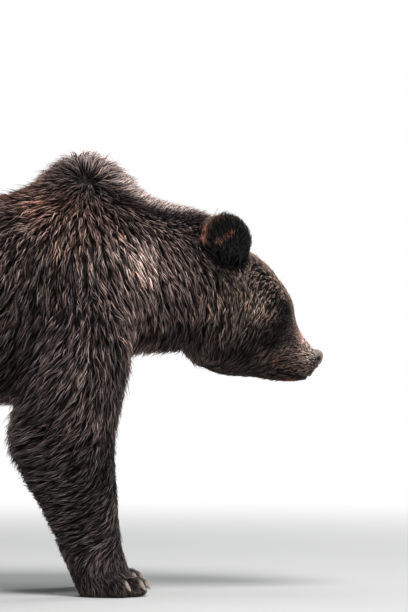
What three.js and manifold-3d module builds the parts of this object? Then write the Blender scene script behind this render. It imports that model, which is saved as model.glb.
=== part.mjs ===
// A brown bear standing on four feet, head low, as a life-size museum model.
// Millimetres. +X runs to the nose, +Y to the bear's left, +Z up, and the floor is Z = 0.
// The solids are the outside of the coat. Thin cuts part the body where a person would name its parts.
import * as THREE from "three";
import { mergeVertices } from "three/addons/utils/BufferGeometryUtils.js";
import Module from "manifold-3d";

const wasm = await Module();
wasm.setup();

// Driving dimensions
const humpHeight = 1010; // floor to the tips of the hump's hair
const backHeight = 918; // floor to the back behind the hump
const bellyHeight = 415; // floor to the lowest hair of the belly
const bodyHalf = 272; // half the width at the belly
const neckHalf = 160;
const headPitch = THREE.MathUtils.degToRad(31); // the head's axis below the horizontal
const headBase = new THREE.Vector2(299, 673); // X and Z of the axis where head meets neck
const cheekHalf = 136;
const muzzleHalf = 47;
const foreFootSide = 138; // how far each forefoot stands from the middle
const hindFootSide = 150;
const hindStep = 90; // how far the left hind foot stands ahead of the right one
const cut = 0.8; // gap between neighbouring solids
const eyeRadius = 11;
const bodySides = 20; // corners of each section of the body

const coatDark = 0x3a2e27;
const finish = {
  coat: new THREE.MeshStandardMaterial({ name: "coat", color: coatDark, roughness: 0.85, metalness: 0 }),
  nose: new THREE.MeshStandardMaterial({ name: "nose", color: 0x2b2523, roughness: 0.45, metalness: 0 }),
  eye: new THREE.MeshStandardMaterial({ name: "eye", color: 0x140c08, roughness: 0.08, metalness: 0 }),
  claw: new THREE.MeshStandardMaterial({ name: "claw", color: 0xb9a68c, roughness: 0.4, metalness: 0 }),
};

// Reads every number of a list of stations at any place along it, on a smooth cubic.
function smoothTrack(stations, placeOf) {
  const keys = Object.keys(stations[0]);
  const places = stations.map(placeOf);
  const values = stations.flatMap((station) => keys.map((key) => station[key]));
  const cubic = new THREE.CubicInterpolant(places, values, keys.length, new Float64Array(keys.length));
  return (place) => {
    const read = cubic.evaluate(place);
    return Object.fromEntries(keys.map((key, i) => [key, read[i]]));
  };
}

function evenly(from, to, count) {
  return Array.from({ length: count }, (_, i) => from + ((to - from) * i) / (count - 1));
}

const power = (x, exponent) => Math.sign(x) * Math.abs(x) ** exponent;

// A solid over rings of equal counts, closed at both ends by a fan.
function loft(rings) {
  const sides = rings[0].length;
  const position = rings.flat();
  const index = [];
  for (let r = 0; r + 1 < rings.length; r++) {
    for (let i = 0; i < sides; i++) {
      const a = r * sides + i;
      const b = r * sides + ((i + 1) % sides);
      index.push(a, b, b + sides, a, b + sides, a + sides);
    }
  }
  [0, rings.length - 1].forEach((r) => {
    const middle = position.length;
    const sum = rings[r].reduce((total, p) => total.add(p), new THREE.Vector3());
    position.push(sum.divideScalar(sides));
    for (let i = 0; i < sides; i++) {
      const a = r * sides + i;
      const b = r * sides + ((i + 1) % sides);
      index.push(...(r === 0 ? [middle, b, a] : [middle, a, b]));
    }
  });
  return solidOf(position.flatMap((p) => p.toArray()), index);
}

// A manifold solid from plain points and triangles, turned face out.
function solidOf(points, index) {
  const vertProperties = new Float32Array(points);
  const made = (corners) => {
    const triVerts = new Uint32Array(corners);
    return new wasm.Manifold(new wasm.Mesh({ numProp: 3, vertProperties, triVerts }));
  };
  const solid = made(index);
  if (solid.volume() > 0) return solid;
  const turned = index.slice();
  for (let i = 0; i < turned.length; i += 3) [turned[i + 1], turned[i + 2]] = [turned[i + 2], turned[i + 1]];
  return made(turned);
}

// A three.js geometry as a manifold solid, placed by a matrix.
function solidFrom(geometry, matrix = new THREE.Matrix4()) {
  const bare = geometry.clone().applyMatrix4(matrix);
  bare.deleteAttribute("normal");
  bare.deleteAttribute("uv");
  const merged = mergeVertices(bare, 1e-3);
  return solidOf(Array.from(merged.attributes.position.array), Array.from(merged.index.array));
}

function joined(solids) {
  return solids.reduce((whole, next) => whole.add(next));
}

function ellipsoid(radii, centre, turn = new THREE.Euler(), detail = [10, 7]) {
  const matrix = new THREE.Matrix4().compose(centre, new THREE.Quaternion().setFromEuler(turn), radii);
  return solidFrom(new THREE.SphereGeometry(1, ...detail), matrix);
}

// Rump, trunk, neck and head are one long form.
// Each section is an egg: half wide at its waist, up above and down below the axis.
// tilt leans the section's top forward; square is 2 for an ellipse and more for fuller corners.
const headStation = (t, up, down, half, waist, square) => ({
  x: headBase.x + t * Math.cos(headPitch),
  z: headBase.y - t * Math.sin(headPitch),
  tilt: headPitch,
  up,
  down,
  half,
  waist,
  square,
});
const trunkStation = (x, top, bottom, half, waistHeight, square) => ({
  x,
  z: waistHeight,
  tilt: 0,
  up: top - waistHeight,
  down: waistHeight - bottom,
  half,
  waist: 0,
  square,
});
const neckStation = (x, z, tiltDeg, up, down, half) => ({
  x,
  z,
  tilt: THREE.MathUtils.degToRad(tiltDeg),
  up,
  down,
  half,
  waist: -10,
  square: 2.1,
});

const rumpEnd = trunkStation(-1046, 760, 590, 62, 680, 2);
const neckBase = neckStation(122, 712, 7, 206, 176, 205);
const stations = [
  rumpEnd,
  trunkStation(-1022, 820, 530, 140, 675, 2.1),
  trunkStation(-950, 883, 480, 212, 670, 2.2), // buttocks
  trunkStation(-830, 914, 456, 250, 658, 2.2), // croup
  trunkStation(-650, backHeight - 8, 430, 264, 640, 2.2), // loin
  trunkStation(-470, backHeight - 18, bellyHeight, bodyHalf, 630, 2.2), // belly
  trunkStation(-310, backHeight - 6, bellyHeight + 3, bodyHalf - 2, 630, 2.2), // ribs
  trunkStation(-200, backHeight, 426, 262, 635, 2.15), // chest
  trunkStation(-125, 943, 426, 252, 640, 2.05),
  trunkStation(-65, humpHeight - 16, 430, 244, 645, 1.95),
  trunkStation(-8, humpHeight + 2, 434, 236, 650, 1.9), // hump
  trunkStation(48, humpHeight - 9, 446, 226, 658, 1.9),
  neckBase,
  neckStation(188, 706, 13, 194, 164, 172),
  neckStation(238, 694, 20, 184, 156, neckHalf), // nape
  headStation(0, 142, 142, 143, -10, 2.15), // poll and throat
  headStation(38, 137, 149, cheekHalf + 4, -22, 2.2), // jaw angle
  headStation(74, 126, 148, cheekHalf, -24, 2.25), // widest at the cheeks
  headStation(110, 115, 139, 123, -18, 2.3),
  headStation(140, 101, 124, 102, -12, 2.35),
  headStation(162, 86, 112, 82, -12, 2.4), // brow
  headStation(176, 65, 106, 68, -22, 2.35), // stop
  headStation(196, 45, 99, 57, -28, 2.3),
  headStation(222, 31, 90, muzzleHalf + 4, -32, 2.35),
  headStation(246, 24, 81, muzzleHalf + 1, -32, 2.4), // lips
  headStation(262, 19, 69, muzzleHalf - 2, -27, 2.4),
  headStation(273, 14, 53, muzzleHalf - 9, -20, 2.3),
  headStation(279, 2, 38, 25, -20, 2.1), // muzzle tip
];
let run = 0;
const runs = stations.map((station, i) => {
  if (i > 0) run += Math.hypot(station.x - stations[i - 1].x, station.z - stations[i - 1].z);
  return run;
});
const bodyAt = smoothTrack(stations, (station) => runs[stations.indexOf(station)]);
const order = runs.map((_, i) => i);
const orderAt = new THREE.LinearInterpolant(runs, order, 1, new Float64Array(1));
const runAt = new THREE.LinearInterpolant(order, runs, 1, new Float64Array(1));
const neckRun = runs[stations.indexOf(neckBase)];
const headRun = runs[stations.findIndex((station) => station.tilt === headPitch)];

function bodyRing(at) {
  const { x, z, tilt, up, down, half, waist, square } = bodyAt(at);
  return Array.from({ length: bodySides }, (_, i) => {
    const angle = (2 * Math.PI * i) / bodySides;
    const side = half * power(Math.cos(angle), 2 / square);
    const reach = Math.sin(angle) > 0 ? up - waist : down + waist;
    const height = waist + reach * power(Math.sin(angle), 2 / square);
    return new THREE.Vector3(x + height * Math.sin(tilt), side, z + height * Math.cos(tilt));
  });
}

// Places from one run to another, closer together where the stations are.
function placesAlong(from, to, count) {
  const ends = [from, to].map((place) => orderAt.evaluate(place)[0]);
  return evenly(...ends, count).map((place) => runAt.evaluate(place)[0]);
}

// A point given along the head's axis, to the left of it and above it.
function onHead(t, side, height) {
  return new THREE.Vector3(
    headBase.x + t * Math.cos(headPitch) + height * Math.sin(headPitch),
    side,
    headBase.y - t * Math.sin(headPitch) + height * Math.cos(headPitch),
  );
}

// Level sections, from the foot up: z, the middle x and y, and half the length and width.
const level = (z, x, y, long, wide) => ({ z, x, y, long, wide });
const foreLevels = [
  level(22, 34, foreFootSide, 56, 54),
  level(60, 37, foreFootSide, 71, 57),
  level(98, 21, foreFootSide, 75, 61), // wrist
  level(135, 7, foreFootSide + 1, 79, 65),
  level(170, 1, foreFootSide + 2, 86, 69),
  level(235, -21, foreFootSide + 4, 101, 77),
  level(290, -34, foreFootSide + 7, 112, 83),
  level(345, -46, foreFootSide + 10, 121, 90), // elbow
  level(395, -41, foreFootSide + 14, 128, 98),
  level(445, -31, foreFootSide + 20, 130, 105),
  level(500, -17, foreFootSide + 26, 128, 109),
  level(565, -5, foreFootSide + 30, 125, 104), // point of the shoulder
  level(640, -8, foreFootSide + 34, 114, 86),
  level(708, -18, foreFootSide + 32, 92, 66),
  level(765, -24, foreFootSide + 26, 48, 34),
];
const hindLevels = [
  level(22, -893, hindFootSide, 62, 54),
  level(60, -896, hindFootSide, 68, 56),
  level(98, -898, hindFootSide, 72, 59), // ankle
  level(150, -892, hindFootSide, 78, 64),
  level(215, -872, hindFootSide + 1, 91, 73),
  level(290, -845, hindFootSide + 3, 112, 86),
  level(365, -820, hindFootSide + 5, 140, 99),
  level(440, -806, hindFootSide + 9, 166, 111), // knee
  level(530, -812, hindFootSide + 14, 190, 120),
  level(620, -832, hindFootSide + 16, 194, 115), // thigh
  level(700, -852, hindFootSide + 14, 172, 101),
  level(770, -862, hindFootSide + 8, 124, 78),
  level(815, -864, hindFootSide, 62, 44),
];
const foreCuts = { wrist: 98, elbow: 345 };
const hindCuts = { wrist: 98, elbow: 400 };

// One stretch of a leg on the right (side -1) or left (side 1), grown outwards by the given margin.
// step moves the foot forward and fades out towards the hip.
function legLength(levels, heights, { side, step = 0, grow = 0, sides = 12 }) {
  const at = smoothTrack(levels, (row) => row.z);
  const hip = levels.at(-1).z;
  return loft(
    heights.map((z) => {
      const { x, y, long, wide } = at(z);
      const lead = step * Math.max(0, 1 - z / hip) ** 1.3;
      return Array.from({ length: sides }, (_, i) => {
        const angle = (2 * Math.PI * i) / sides;
        const forward = (long + grow) * power(Math.cos(angle), 0.94);
        const out = (wide + grow) * power(Math.sin(angle), 0.94);
        return new THREE.Vector3(x + lead + forward, side * y + out, z);
      });
    }),
  );
}

// A paw's measures along the foot from the ankle's middle, with its height and half width.
// arc is how far the outermost toes stand behind the middle one.
const foreSole = { heel: -46, ball: 74, widest: 62, instep: 84, toeReach: 82, arc: 46 };
const hindSole = { heel: -88, ball: 108, widest: 60, instep: 88, toeReach: 126, arc: 22 };
const underside = 14; // depth of a paw's lower half, most of it below the floor and cut away

function palm(sole) {
  const sides = 10;
  const front = sole.ball + 14;
  const rows = [
    { x: sole.heel, half: sole.widest * 0.42, top: 34 },
    { x: sole.heel + 14, half: sole.widest * 0.72, top: 58 },
    { x: 0, half: sole.widest * 0.93, top: sole.instep },
    { x: sole.ball * 0.6, half: sole.widest * 0.94, top: 74 },
    { x: sole.ball, half: sole.widest * 0.68, top: 50 },
    { x: front, half: sole.widest * 0.45, top: 34 },
  ];
  const at = smoothTrack(rows, (row) => row.x);
  return loft(
    evenly(sole.heel, front, 5).map((x) => {
      const { half, top } = at(x);
      return Array.from({ length: sides }, (_, i) => {
        const angle = (2 * Math.PI * i) / sides;
        const tall = Math.sin(angle) > 0 ? top : underside;
        const side = half * power(Math.cos(angle), 0.8);
        return new THREE.Vector3(x, side, 2 + tall * power(Math.sin(angle), 0.9));
      });
    }),
  );
}

// Five toes fan out over the ball of the foot; toe 0 is the outer one on the right foot.
const toes = evenly(-1, 1, 5).map((across) => ({
  across,
  fan: -across * 0.2,
}));
const toeRadii = new THREE.Vector3(31, 16.5, 23);
const toeDroop = 0.28; // how far each toe points down
function toePlace(sole, toe) {
  const setBack = sole.arc * toe.across ** 2;
  return new THREE.Vector3(sole.toeReach - setBack, toe.across * sole.widest * 0.78, 23);
}
function toeLump(sole, toe) {
  return ellipsoid(toeRadii, toePlace(sole, toe), new THREE.Euler(0, toeDroop, -toe.fan), [7, 5]);
}

// A claw is a tapered horn bent down round an arc that lies in its toe's own upright plane.
const foreClaw = { length: 33, bend: 0.75, deep: 7.5, broad: 5, down: 0.45 };
const hindClaw = { length: 32, bend: 0.7, deep: 6.5, broad: 4.6, down: 0.42 };
const clawSeat = new THREE.Vector3(14, 0, 15); // the claw's root from the middle of its toe
function claw(shape, sole, toe, turnFoot) {
  const radius = shape.length / shape.bend;
  const rings = evenly(0, 1, 4).map((share) => {
    const turn = shape.down + shape.bend * share;
    const middle = new THREE.Vector2(
      radius * (Math.sin(turn) - Math.sin(shape.down)),
      radius * (Math.cos(turn) - Math.cos(shape.down)),
    );
    const taper = Math.max(0.1, (1 - share ** 1.6) ** 0.8);
    return Array.from({ length: 5 }, (_, i) => {
      const angle = (2 * Math.PI * i) / 5;
      const high = shape.deep * taper * Math.sin(angle);
      const side = shape.broad * taper * Math.cos(angle);
      return new THREE.Vector3(middle.x + high * Math.sin(turn), side, middle.y + high * Math.cos(turn));
    });
  });
  const root = toePlace(sole, toe).add(clawSeat);
  const placed = new THREE.Matrix4().makeRotationZ(-toe.fan).setPosition(root).premultiply(turnFoot);
  return loft(rings.map((ring) => ring.map((p) => p.clone().applyMatrix4(placed))));
}

const floorBlock = solidFrom(new THREE.BoxGeometry(4000, 2000, 400).translate(0, 0, -200));

const bear = new THREE.Group();

function addNode(name, solid, material) {
  const { numProp, vertProperties, triVerts } = solid.getMesh();
  const position = new Float32Array((vertProperties.length / numProp) * 3);
  for (let i = 0; i < position.length / 3; i++) {
    position.set(vertProperties.subarray(i * numProp, i * numProp + 3), i * 3);
  }
  const geometry = new THREE.BufferGeometry()
    .setAttribute("position", new THREE.BufferAttribute(position, 3))
    .setIndex(new THREE.BufferAttribute(triVerts.slice(), 1));
  geometry.computeVertexNormals();
  const mesh = new THREE.Mesh(geometry, material);
  mesh.name = name;
  bear.add(mesh);
}

// One leg with its paw and claws. Returns what has to be cleared out of the trunk for it.
function addLeg({ label, parts, levels, cuts, sole, clawShape, side, step, yaw }) {
  const stretch = { side, step };
  const [upperName, lowerName, pawName] = parts;
  const top = levels.at(-1).z;
  const footAt = legFoot(levels, side, step);
  const turnFoot = new THREE.Matrix4().makeRotationZ(-side * yaw).setPosition(footAt);
  const place = (solid) => solid.transform(turnFoot.elements);

  const upperHeights = evenly(cuts.elbow + cut / 2, top, 8);
  addNode(`${upperName}_${label}`, legLength(levels, upperHeights, stretch), finish.coat);
  const lowerHeights = evenly(cuts.wrist + cut / 2, cuts.elbow - cut / 2, 6);
  addNode(`${lowerName}_${label}`, legLength(levels, lowerHeights, stretch), finish.coat);

  const shank = legLength(levels, evenly(levels[0].z, cuts.wrist - cut / 2, 3), stretch);
  const foot = joined([palm(sole), ...toes.map((toe) => toeLump(sole, toe))]);
  const paw = joined([shank, place(foot)]).subtract(floorBlock);
  addNode(`${pawName}_${label}`, paw, finish.coat);
  const pawAhead = paw.translate([cut, 0, -cut / 2]);
  toes.forEach((toe, i) => {
    const horn = claw(clawShape, sole, toe, turnFoot).subtract(pawAhead);
    addNode(`claw_${pawName}_${label}_${i + 1}`, horn, finish.claw);
  });
  return legLength(levels, [cuts.elbow - 60, ...upperHeights, top + cut], { ...stretch, grow: cut / 2 });
}

function legFoot(levels, side, step) {
  const { x, y } = levels[0];
  return new THREE.Vector3(x + step * 0.97, side * y, 0);
}

const foreleg = { parts: ["upper_arm", "forearm", "forepaw"], levels: foreLevels, cuts: foreCuts };
const hindleg = { parts: ["thigh", "shank", "hindpaw"], levels: hindLevels, cuts: hindCuts };
const foreFoot = { sole: foreSole, clawShape: foreClaw, yaw: 0.06 };
const hindFoot = { sole: hindSole, clawShape: hindClaw, yaw: -0.1 };
const cleared = [
  addLeg({ label: "right", ...foreleg, ...foreFoot, side: -1, step: 0 }),
  addLeg({ label: "left", ...foreleg, ...foreFoot, side: 1, step: -18 }),
  addLeg({ label: "right", ...hindleg, ...hindFoot, side: -1, step: 0 }),
  addLeg({ label: "left", ...hindleg, ...hindFoot, side: 1, step: hindStep }),
];

// The tail is a short drop of hair below the croup.
const tailRoot = new THREE.Vector3(-1009, 0, 775);
const tailDrop = 0.95; // radians below level, pointing back
const tailLength = 118;
function tail(grow) {
  const along = new THREE.Vector3(-Math.cos(tailDrop), 0, -Math.sin(tailDrop));
  const outward = new THREE.Vector3(-Math.sin(tailDrop), 0, Math.cos(tailDrop));
  return loft(
    evenly(0, 1, 6).map((share) => {
      const swell = Math.sin(Math.PI * (0.16 + 0.8 * share)) ** 0.7;
      const middle = tailRoot.clone().addScaledVector(along, tailLength * share);
      return Array.from({ length: 10 }, (_, i) => {
        const angle = (2 * Math.PI * i) / 10;
        const side = new THREE.Vector3(0, (34 * swell + grow) * Math.cos(angle), 0);
        return side.addScaledVector(outward, (30 * swell + grow) * Math.sin(angle)).add(middle);
      });
    }),
  );
}
addNode("tail", tail(0), finish.coat);

const trunkForm = loft(placesAlong(0, neckRun - cut / 2, 16).map(bodyRing));
const neckPlaces = placesAlong(neckRun + cut / 2, headRun - cut / 2, 5);
const headPlaces = placesAlong(headRun + cut / 2, run, 17);
const neckForm = loft(neckPlaces.map(bodyRing));
const skullForm = loft(headPlaces.map(bodyRing));
const seatForm = loft([...neckPlaces, ...headPlaces].map(bodyRing)); // what the ears stand on

// An ear is a thick round cup, open outwards and forwards, its base sunk in the head.
const ear = { radius: 64, thick: 25, x: 331, side: 106, z: 808 };
const earDish = { across: 42, tall: 44, deep: 14, rise: 2 };
function earCup(side) {
  const rounded = (wide, tall, deep, corners) =>
    solidFrom(new THREE.SphereGeometry(1, ...corners), new THREE.Matrix4().makeScale(wide, tall, deep));
  const cup = rounded(ear.radius * 0.93, ear.radius, ear.thick, [12, 7]);
  const dish = rounded(earDish.across, earDish.tall, earDish.deep, [10, 6]);
  const facing = new THREE.Vector3(0.42, side * 0.85, 0.2).normalize(); // where the opening looks
  const lean = new THREE.Vector3(-0.08, side * 0.26, 1).normalize(); // where the tip points
  const across = new THREE.Vector3().crossVectors(lean, facing).normalize();
  const up = new THREE.Vector3().crossVectors(facing, across);
  const placed = new THREE.Matrix4().makeBasis(across, up, facing).setPosition(ear.x, side * ear.side, ear.z);
  return cup.subtract(dish.translate([0, earDish.rise, ear.thick])).transform(placed.elements);
}

// The nose pad is a rounded block with two nostrils.
const unturned = new THREE.Euler();
const padTilt = new THREE.Euler(0, headPitch - 0.25, 0);
function nosePad(grow) {
  return ellipsoid(new THREE.Vector3(17 + grow, 27 + grow, 18 + grow), onHead(271, 0, -1), padTilt);
}
function nostril(side) {
  return ellipsoid(new THREE.Vector3(9, 4.5, 6), onHead(288, side * 11, -1), unturned, [6, 5]);
}

// Eyes look forwards and to the side from under the brow.
const eye = { t: 161, side: 59, height: 46 };
function eyeBall(side, grow) {
  const radii = new THREE.Vector3().setScalar(eyeRadius + grow);
  return ellipsoid(radii, onHead(eye.t, side * eye.side, eye.height), unturned, [8, 6]);
}
function eyeSocket(side) {
  const hollow = onHead(eye.t + 11, side * (eye.side + 15), eye.height - 2);
  return ellipsoid(new THREE.Vector3(21, 13, 13), hollow);
}

// The mouth is a level cut that rises to the lips; below it is the lower jaw.
const mouthCorner = onHead(203, 0, -67);
const mouthFront = onHead(284, 0, -37);
function mouthBlock(above) {
  const slope = Math.atan2(mouthFront.z - mouthCorner.z, mouthFront.x - mouthCorner.x);
  const block = new THREE.BoxGeometry(700, 600, 300).translate(0, 0, above * (150 + cut / 2));
  return solidFrom(block, new THREE.Matrix4().makeRotationY(-slope).setPosition(mouthCorner));
}

const sidesOf = (make) => joined([-1, 1].map(make));
addNode("trunk", trunkForm.subtract(joined([...cleared, tail(cut / 2)])), finish.coat);
addNode("neck", neckForm.subtract(joined(cleared.slice(0, 2))), finish.coat);
const skull = skullForm
  .subtract(sidesOf(eyeSocket))
  .subtract(sidesOf((side) => eyeBall(side, cut / 2)))
  .subtract(nosePad(cut / 2));
addNode("head", skull.intersect(mouthBlock(1)), finish.coat);
addNode("jaw", skull.intersect(mouthBlock(-1)), finish.coat);
addNode("nose", nosePad(0).subtract(sidesOf(nostril)), finish.nose);
[-1, 1].forEach((side) => {
  const label = side < 0 ? "right" : "left";
  const seat = seatForm.translate([0, side * cut, cut]);
  addNode(`ear_${label}`, earCup(side).subtract(seat), finish.coat);
  addNode(`eye_${label}`, eyeBall(side, 0), finish.eye);
});

// The origin is on the floor under the middle of the whole bear.
const box = new THREE.Box3().setFromObject(bear);
const middle = box.getCenter(new THREE.Vector3());
bear.position.set(-middle.x, -middle.y, -box.min.z);

export default bear;
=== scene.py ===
# A brown bear on all fours with its head low: skin, coat, eyes, nose and claws of a life-size museum model.
# Metres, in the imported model's own frame: +X to the nose, +Y to the bear's left, +Z up, floor at 0.
import math
import bpy
import numpy as np
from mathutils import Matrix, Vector
from mathutils.bvhtree import BVHTree
from mathutils.kdtree import KDTree


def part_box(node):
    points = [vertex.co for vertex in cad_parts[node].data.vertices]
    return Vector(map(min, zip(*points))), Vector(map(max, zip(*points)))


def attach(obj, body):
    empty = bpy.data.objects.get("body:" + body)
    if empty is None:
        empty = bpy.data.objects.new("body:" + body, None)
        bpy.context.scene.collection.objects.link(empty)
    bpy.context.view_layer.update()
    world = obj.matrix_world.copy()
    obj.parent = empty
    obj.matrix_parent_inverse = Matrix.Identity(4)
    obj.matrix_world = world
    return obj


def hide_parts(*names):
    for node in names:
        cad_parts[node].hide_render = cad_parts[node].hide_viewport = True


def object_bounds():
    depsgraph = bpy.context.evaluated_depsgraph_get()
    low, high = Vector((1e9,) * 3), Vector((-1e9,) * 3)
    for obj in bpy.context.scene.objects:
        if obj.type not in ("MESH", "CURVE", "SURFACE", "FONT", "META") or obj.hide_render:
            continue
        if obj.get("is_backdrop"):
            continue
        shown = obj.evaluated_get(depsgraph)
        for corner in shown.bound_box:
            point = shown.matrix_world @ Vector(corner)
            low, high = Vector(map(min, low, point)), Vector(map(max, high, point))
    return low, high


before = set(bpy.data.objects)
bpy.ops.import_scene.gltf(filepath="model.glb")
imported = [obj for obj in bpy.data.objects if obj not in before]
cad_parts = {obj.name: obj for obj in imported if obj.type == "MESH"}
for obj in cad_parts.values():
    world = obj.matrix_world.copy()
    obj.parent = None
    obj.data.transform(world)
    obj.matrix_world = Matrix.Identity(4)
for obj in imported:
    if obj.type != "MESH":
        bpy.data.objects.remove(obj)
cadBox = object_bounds()
chance = np.random.default_rng(11)
sideOf = {"right": -1, "left": 1}
boxMiddle = (0.5, 0.5, 0.5)
scene = bpy.context.scene


# Places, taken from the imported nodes

def spot(node, share, label="right"):
    # A place in a node's box. Shares run along X, outwards from the bear's middle, and up.
    side = sideOf[label]
    paired = f"{node}_{label}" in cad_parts
    low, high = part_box(f"{node}_{label}" if paired else node)
    inner = min(abs(low.y), abs(high.y)) if paired else 0
    outer = max(abs(low.y), abs(high.y))
    return np.array([
        low.x + (high.x - low.x) * share[0],
        side * (inner + (outer - inner) * share[1]),
        low.z + (high.z - low.z) * share[2],
    ])


def lengthOf(vectors):
    return np.linalg.norm(vectors, axis=-1)


def unit(vectors):
    return vectors / np.maximum(lengthOf(vectors)[..., None], 1e-12)


def bell(value, reach):
    # 1 where the value is 0, fading to nothing a little past reach
    return np.exp(-(value / reach) ** 2)


def near(spots, place, reach):
    return bell(lengthOf(spots - place), reach)


def ramp(value, start, end):
    # 0 before start and 1 past end, easing in and out
    share = np.clip((value - start) / (end - start), 0, 1)
    return share * share * (3 - 2 * share)


def fromLine(spots, start, end):
    # The way to each spot from the nearest place on the straight line between two places
    run = end - start
    share = np.clip((spots - start) @ run / (run @ run), 0, 1)
    return spots - start - share[:, None] * run


# Mesh tools

def deselectAll():
    for item in list(bpy.context.selected_objects):
        item.select_set(False)


def takeUp(piece):
    deselectAll()
    piece.select_set(True)
    bpy.context.view_layer.objects.active = piece


def editMesh(piece, work):
    # Runs operators on a whole piece in edit mode
    takeUp(piece)
    bpy.ops.object.mode_set(mode="EDIT")
    bpy.ops.mesh.select_all(action="SELECT")
    work()
    bpy.ops.object.mode_set(mode="OBJECT")


def applyModifier(piece, kind, **settings):
    takeUp(piece)
    bpy.ops.object.modifier_add(type=kind)
    modifier = piece.modifiers[-1]
    for key, value in settings.items():
        setattr(modifier, key, value)
    bpy.ops.object.modifier_apply(modifier=modifier.name)


def fetch(items, key, width, kind=np.float32):
    # One property of every item, in rows of this width
    values = np.empty(len(items) * width, kind)
    items.foreach_get(key, values)
    return values.reshape(-1, width).astype(float if kind == np.float32 else kind)


def store(items, key, values, kind=np.float32):
    items.foreach_set(key, np.ascontiguousarray(values, kind).ravel())


def spotsOf(mesh):
    return fetch(mesh.vertices, "co", 3)


def moveTo(mesh, spots):
    store(mesh.vertices, "co", spots)
    mesh.update()


def normalsOf(mesh):
    return fetch(mesh.vertex_normals, "vector", 3)


def edgesOf(mesh):
    return fetch(mesh.edges, "vertices", 2, np.int32)


def shadeSmooth(mesh):
    store(mesh.polygons, "use_smooth", np.ones(len(mesh.polygons)), bool)


def smoothOver(edges, values, rounds, own=0.4):
    # Mixes each vertex's own numbers with its neighbours' mean, round after round
    values = np.array(values, float)
    flat = values.reshape(len(values), -1)
    ends, others = np.concatenate([edges, edges[:, ::-1]]).T
    count = np.maximum(np.bincount(ends, minlength=len(flat)), 1)
    for _ in range(rounds):
        for column in range(flat.shape[1]):
            around = np.bincount(ends, weights=flat[others, column], minlength=len(flat))
            flat[:, column] = own * flat[:, column] + (1 - own) * around / count
    return flat.reshape(values.shape)


def addAttribute(mesh, name, values):
    # A number or a colour on each vertex
    isColour = np.ndim(values) == 2
    if isColour:
        values = np.column_stack([values, np.ones(len(values))])
    kind = "FLOAT_COLOR" if isColour else "FLOAT"
    layer = mesh.attributes.get(name) or mesh.attributes.new(name, kind, "POINT")
    store(layer.data, "color" if isColour else "value", values)


def readAttribute(mesh, name):
    layer = mesh.attributes[name]
    if layer.data_type == "FLOAT_COLOR":
        return fetch(layer.data, "color", 4)[:, :3]
    return fetch(layer.data, "value", 1)[:, 0]


def tubeFaces(rings, around, closed=False):
    # The faces of a tube of rings of vertices, whose last ring meets its first if it is closed
    ring, place = np.divmod(np.arange(around * (rings if closed else rings - 1)), around)
    after, beside = (ring + 1) % rings, (place + 1) % around
    corners = [ring * around + place, after * around + place, ring * around + beside, after * around + beside]
    return np.stack(corners, axis=1)[:, [0, 1, 2, 2, 1, 3]].reshape(-1, 3)


# The skin

skinPlan = {
    "grow": 0.0011, "voxel": 0.0105, "roundings": 9, "weld": 0.00005, "sole": 0.0005,
    "socket": 0.021, "socketRounds": 60, "depthBlend": 36, "colourBlend": 30, "regain": 14,
    "ease": 3, "facing": 8,
}
fleshNodes = [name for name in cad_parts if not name.startswith(("eye", "claw", "nose"))]
formNodes = fleshNodes + ["nose"]  # the skin also runs on under the nose
regionOf = {name: name.removesuffix("_right").removesuffix("_left") for name in fleshNodes}
regionOf["nose"] = "head"


def fleshTree():
    # Every flesh node's faces in one search tree, with the number of the node that each face belongs to
    corners, faces, owners = [], [], []
    for number, name in enumerate(formNodes):
        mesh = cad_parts[name].data
        first = len(corners)
        corners += [vertex.co.copy() for vertex in mesh.vertices]
        faces += [[first + i for i in polygon.vertices] for polygon in mesh.polygons]
        owners += [number] * len(mesh.polygons)
    return BVHTree.FromPolygons(corners, faces), owners


def nearestFlesh(spots):
    found = [flesh.find_nearest(Vector(place)) for place in spots]
    return np.array([hit[0] for hit in found]), np.array([fleshOwners[hit[2]] for hit in found])


flesh, fleshOwners = fleshTree()


def castSkin():
    # One closed skin over copies of all the nodes of flesh
    copies = []
    for name in formNodes:
        copies.append(bpy.data.objects.new("skin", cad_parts[name].data.copy()))
        scene.collection.objects.link(copies[-1])
    takeUp(copies[0])
    for copy in copies[1:]:
        copy.select_set(True)
    bpy.ops.object.join()
    skin = copies[0]
    editMesh(skin, lambda: bpy.ops.mesh.remove_doubles(threshold=skinPlan["weld"]))
    moveTo(skin.data, spotsOf(skin.data) + normalsOf(skin.data) * skinPlan["grow"])  # closes the cuts
    applyModifier(skin, "REMESH", mode="VOXEL", voxel_size=skinPlan["voxel"], adaptivity=0)
    editMesh(skin, lambda: bpy.ops.mesh.vertices_smooth(factor=0.5, repeat=skinPlan["roundings"]))
    return skin


def drawBack(skin):
    # Rounding shrinks the skin, so it is drawn back onto the flesh, with a smooth sheet over the eye sockets
    edges = edgesOf(skin.data)
    spots = spotsOf(skin.data)
    spots = smoothOver(edges, nearestFlesh(spots)[0], skinPlan["ease"])
    for label in sideOf:
        over = lengthOf(spots - spot("eye", boxMiddle, label)) < skinPlan["socket"]
        inside = edges[over[edges].any(axis=1)]
        for _ in range(skinPlan["socketRounds"]):
            spots[over] = smoothOver(inside, spots, 1)[over]
    moveTo(skin.data, spots)


skin = castSkin()
drawBack(skin)
print("skin cast", len(skin.data.polygons))

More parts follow.
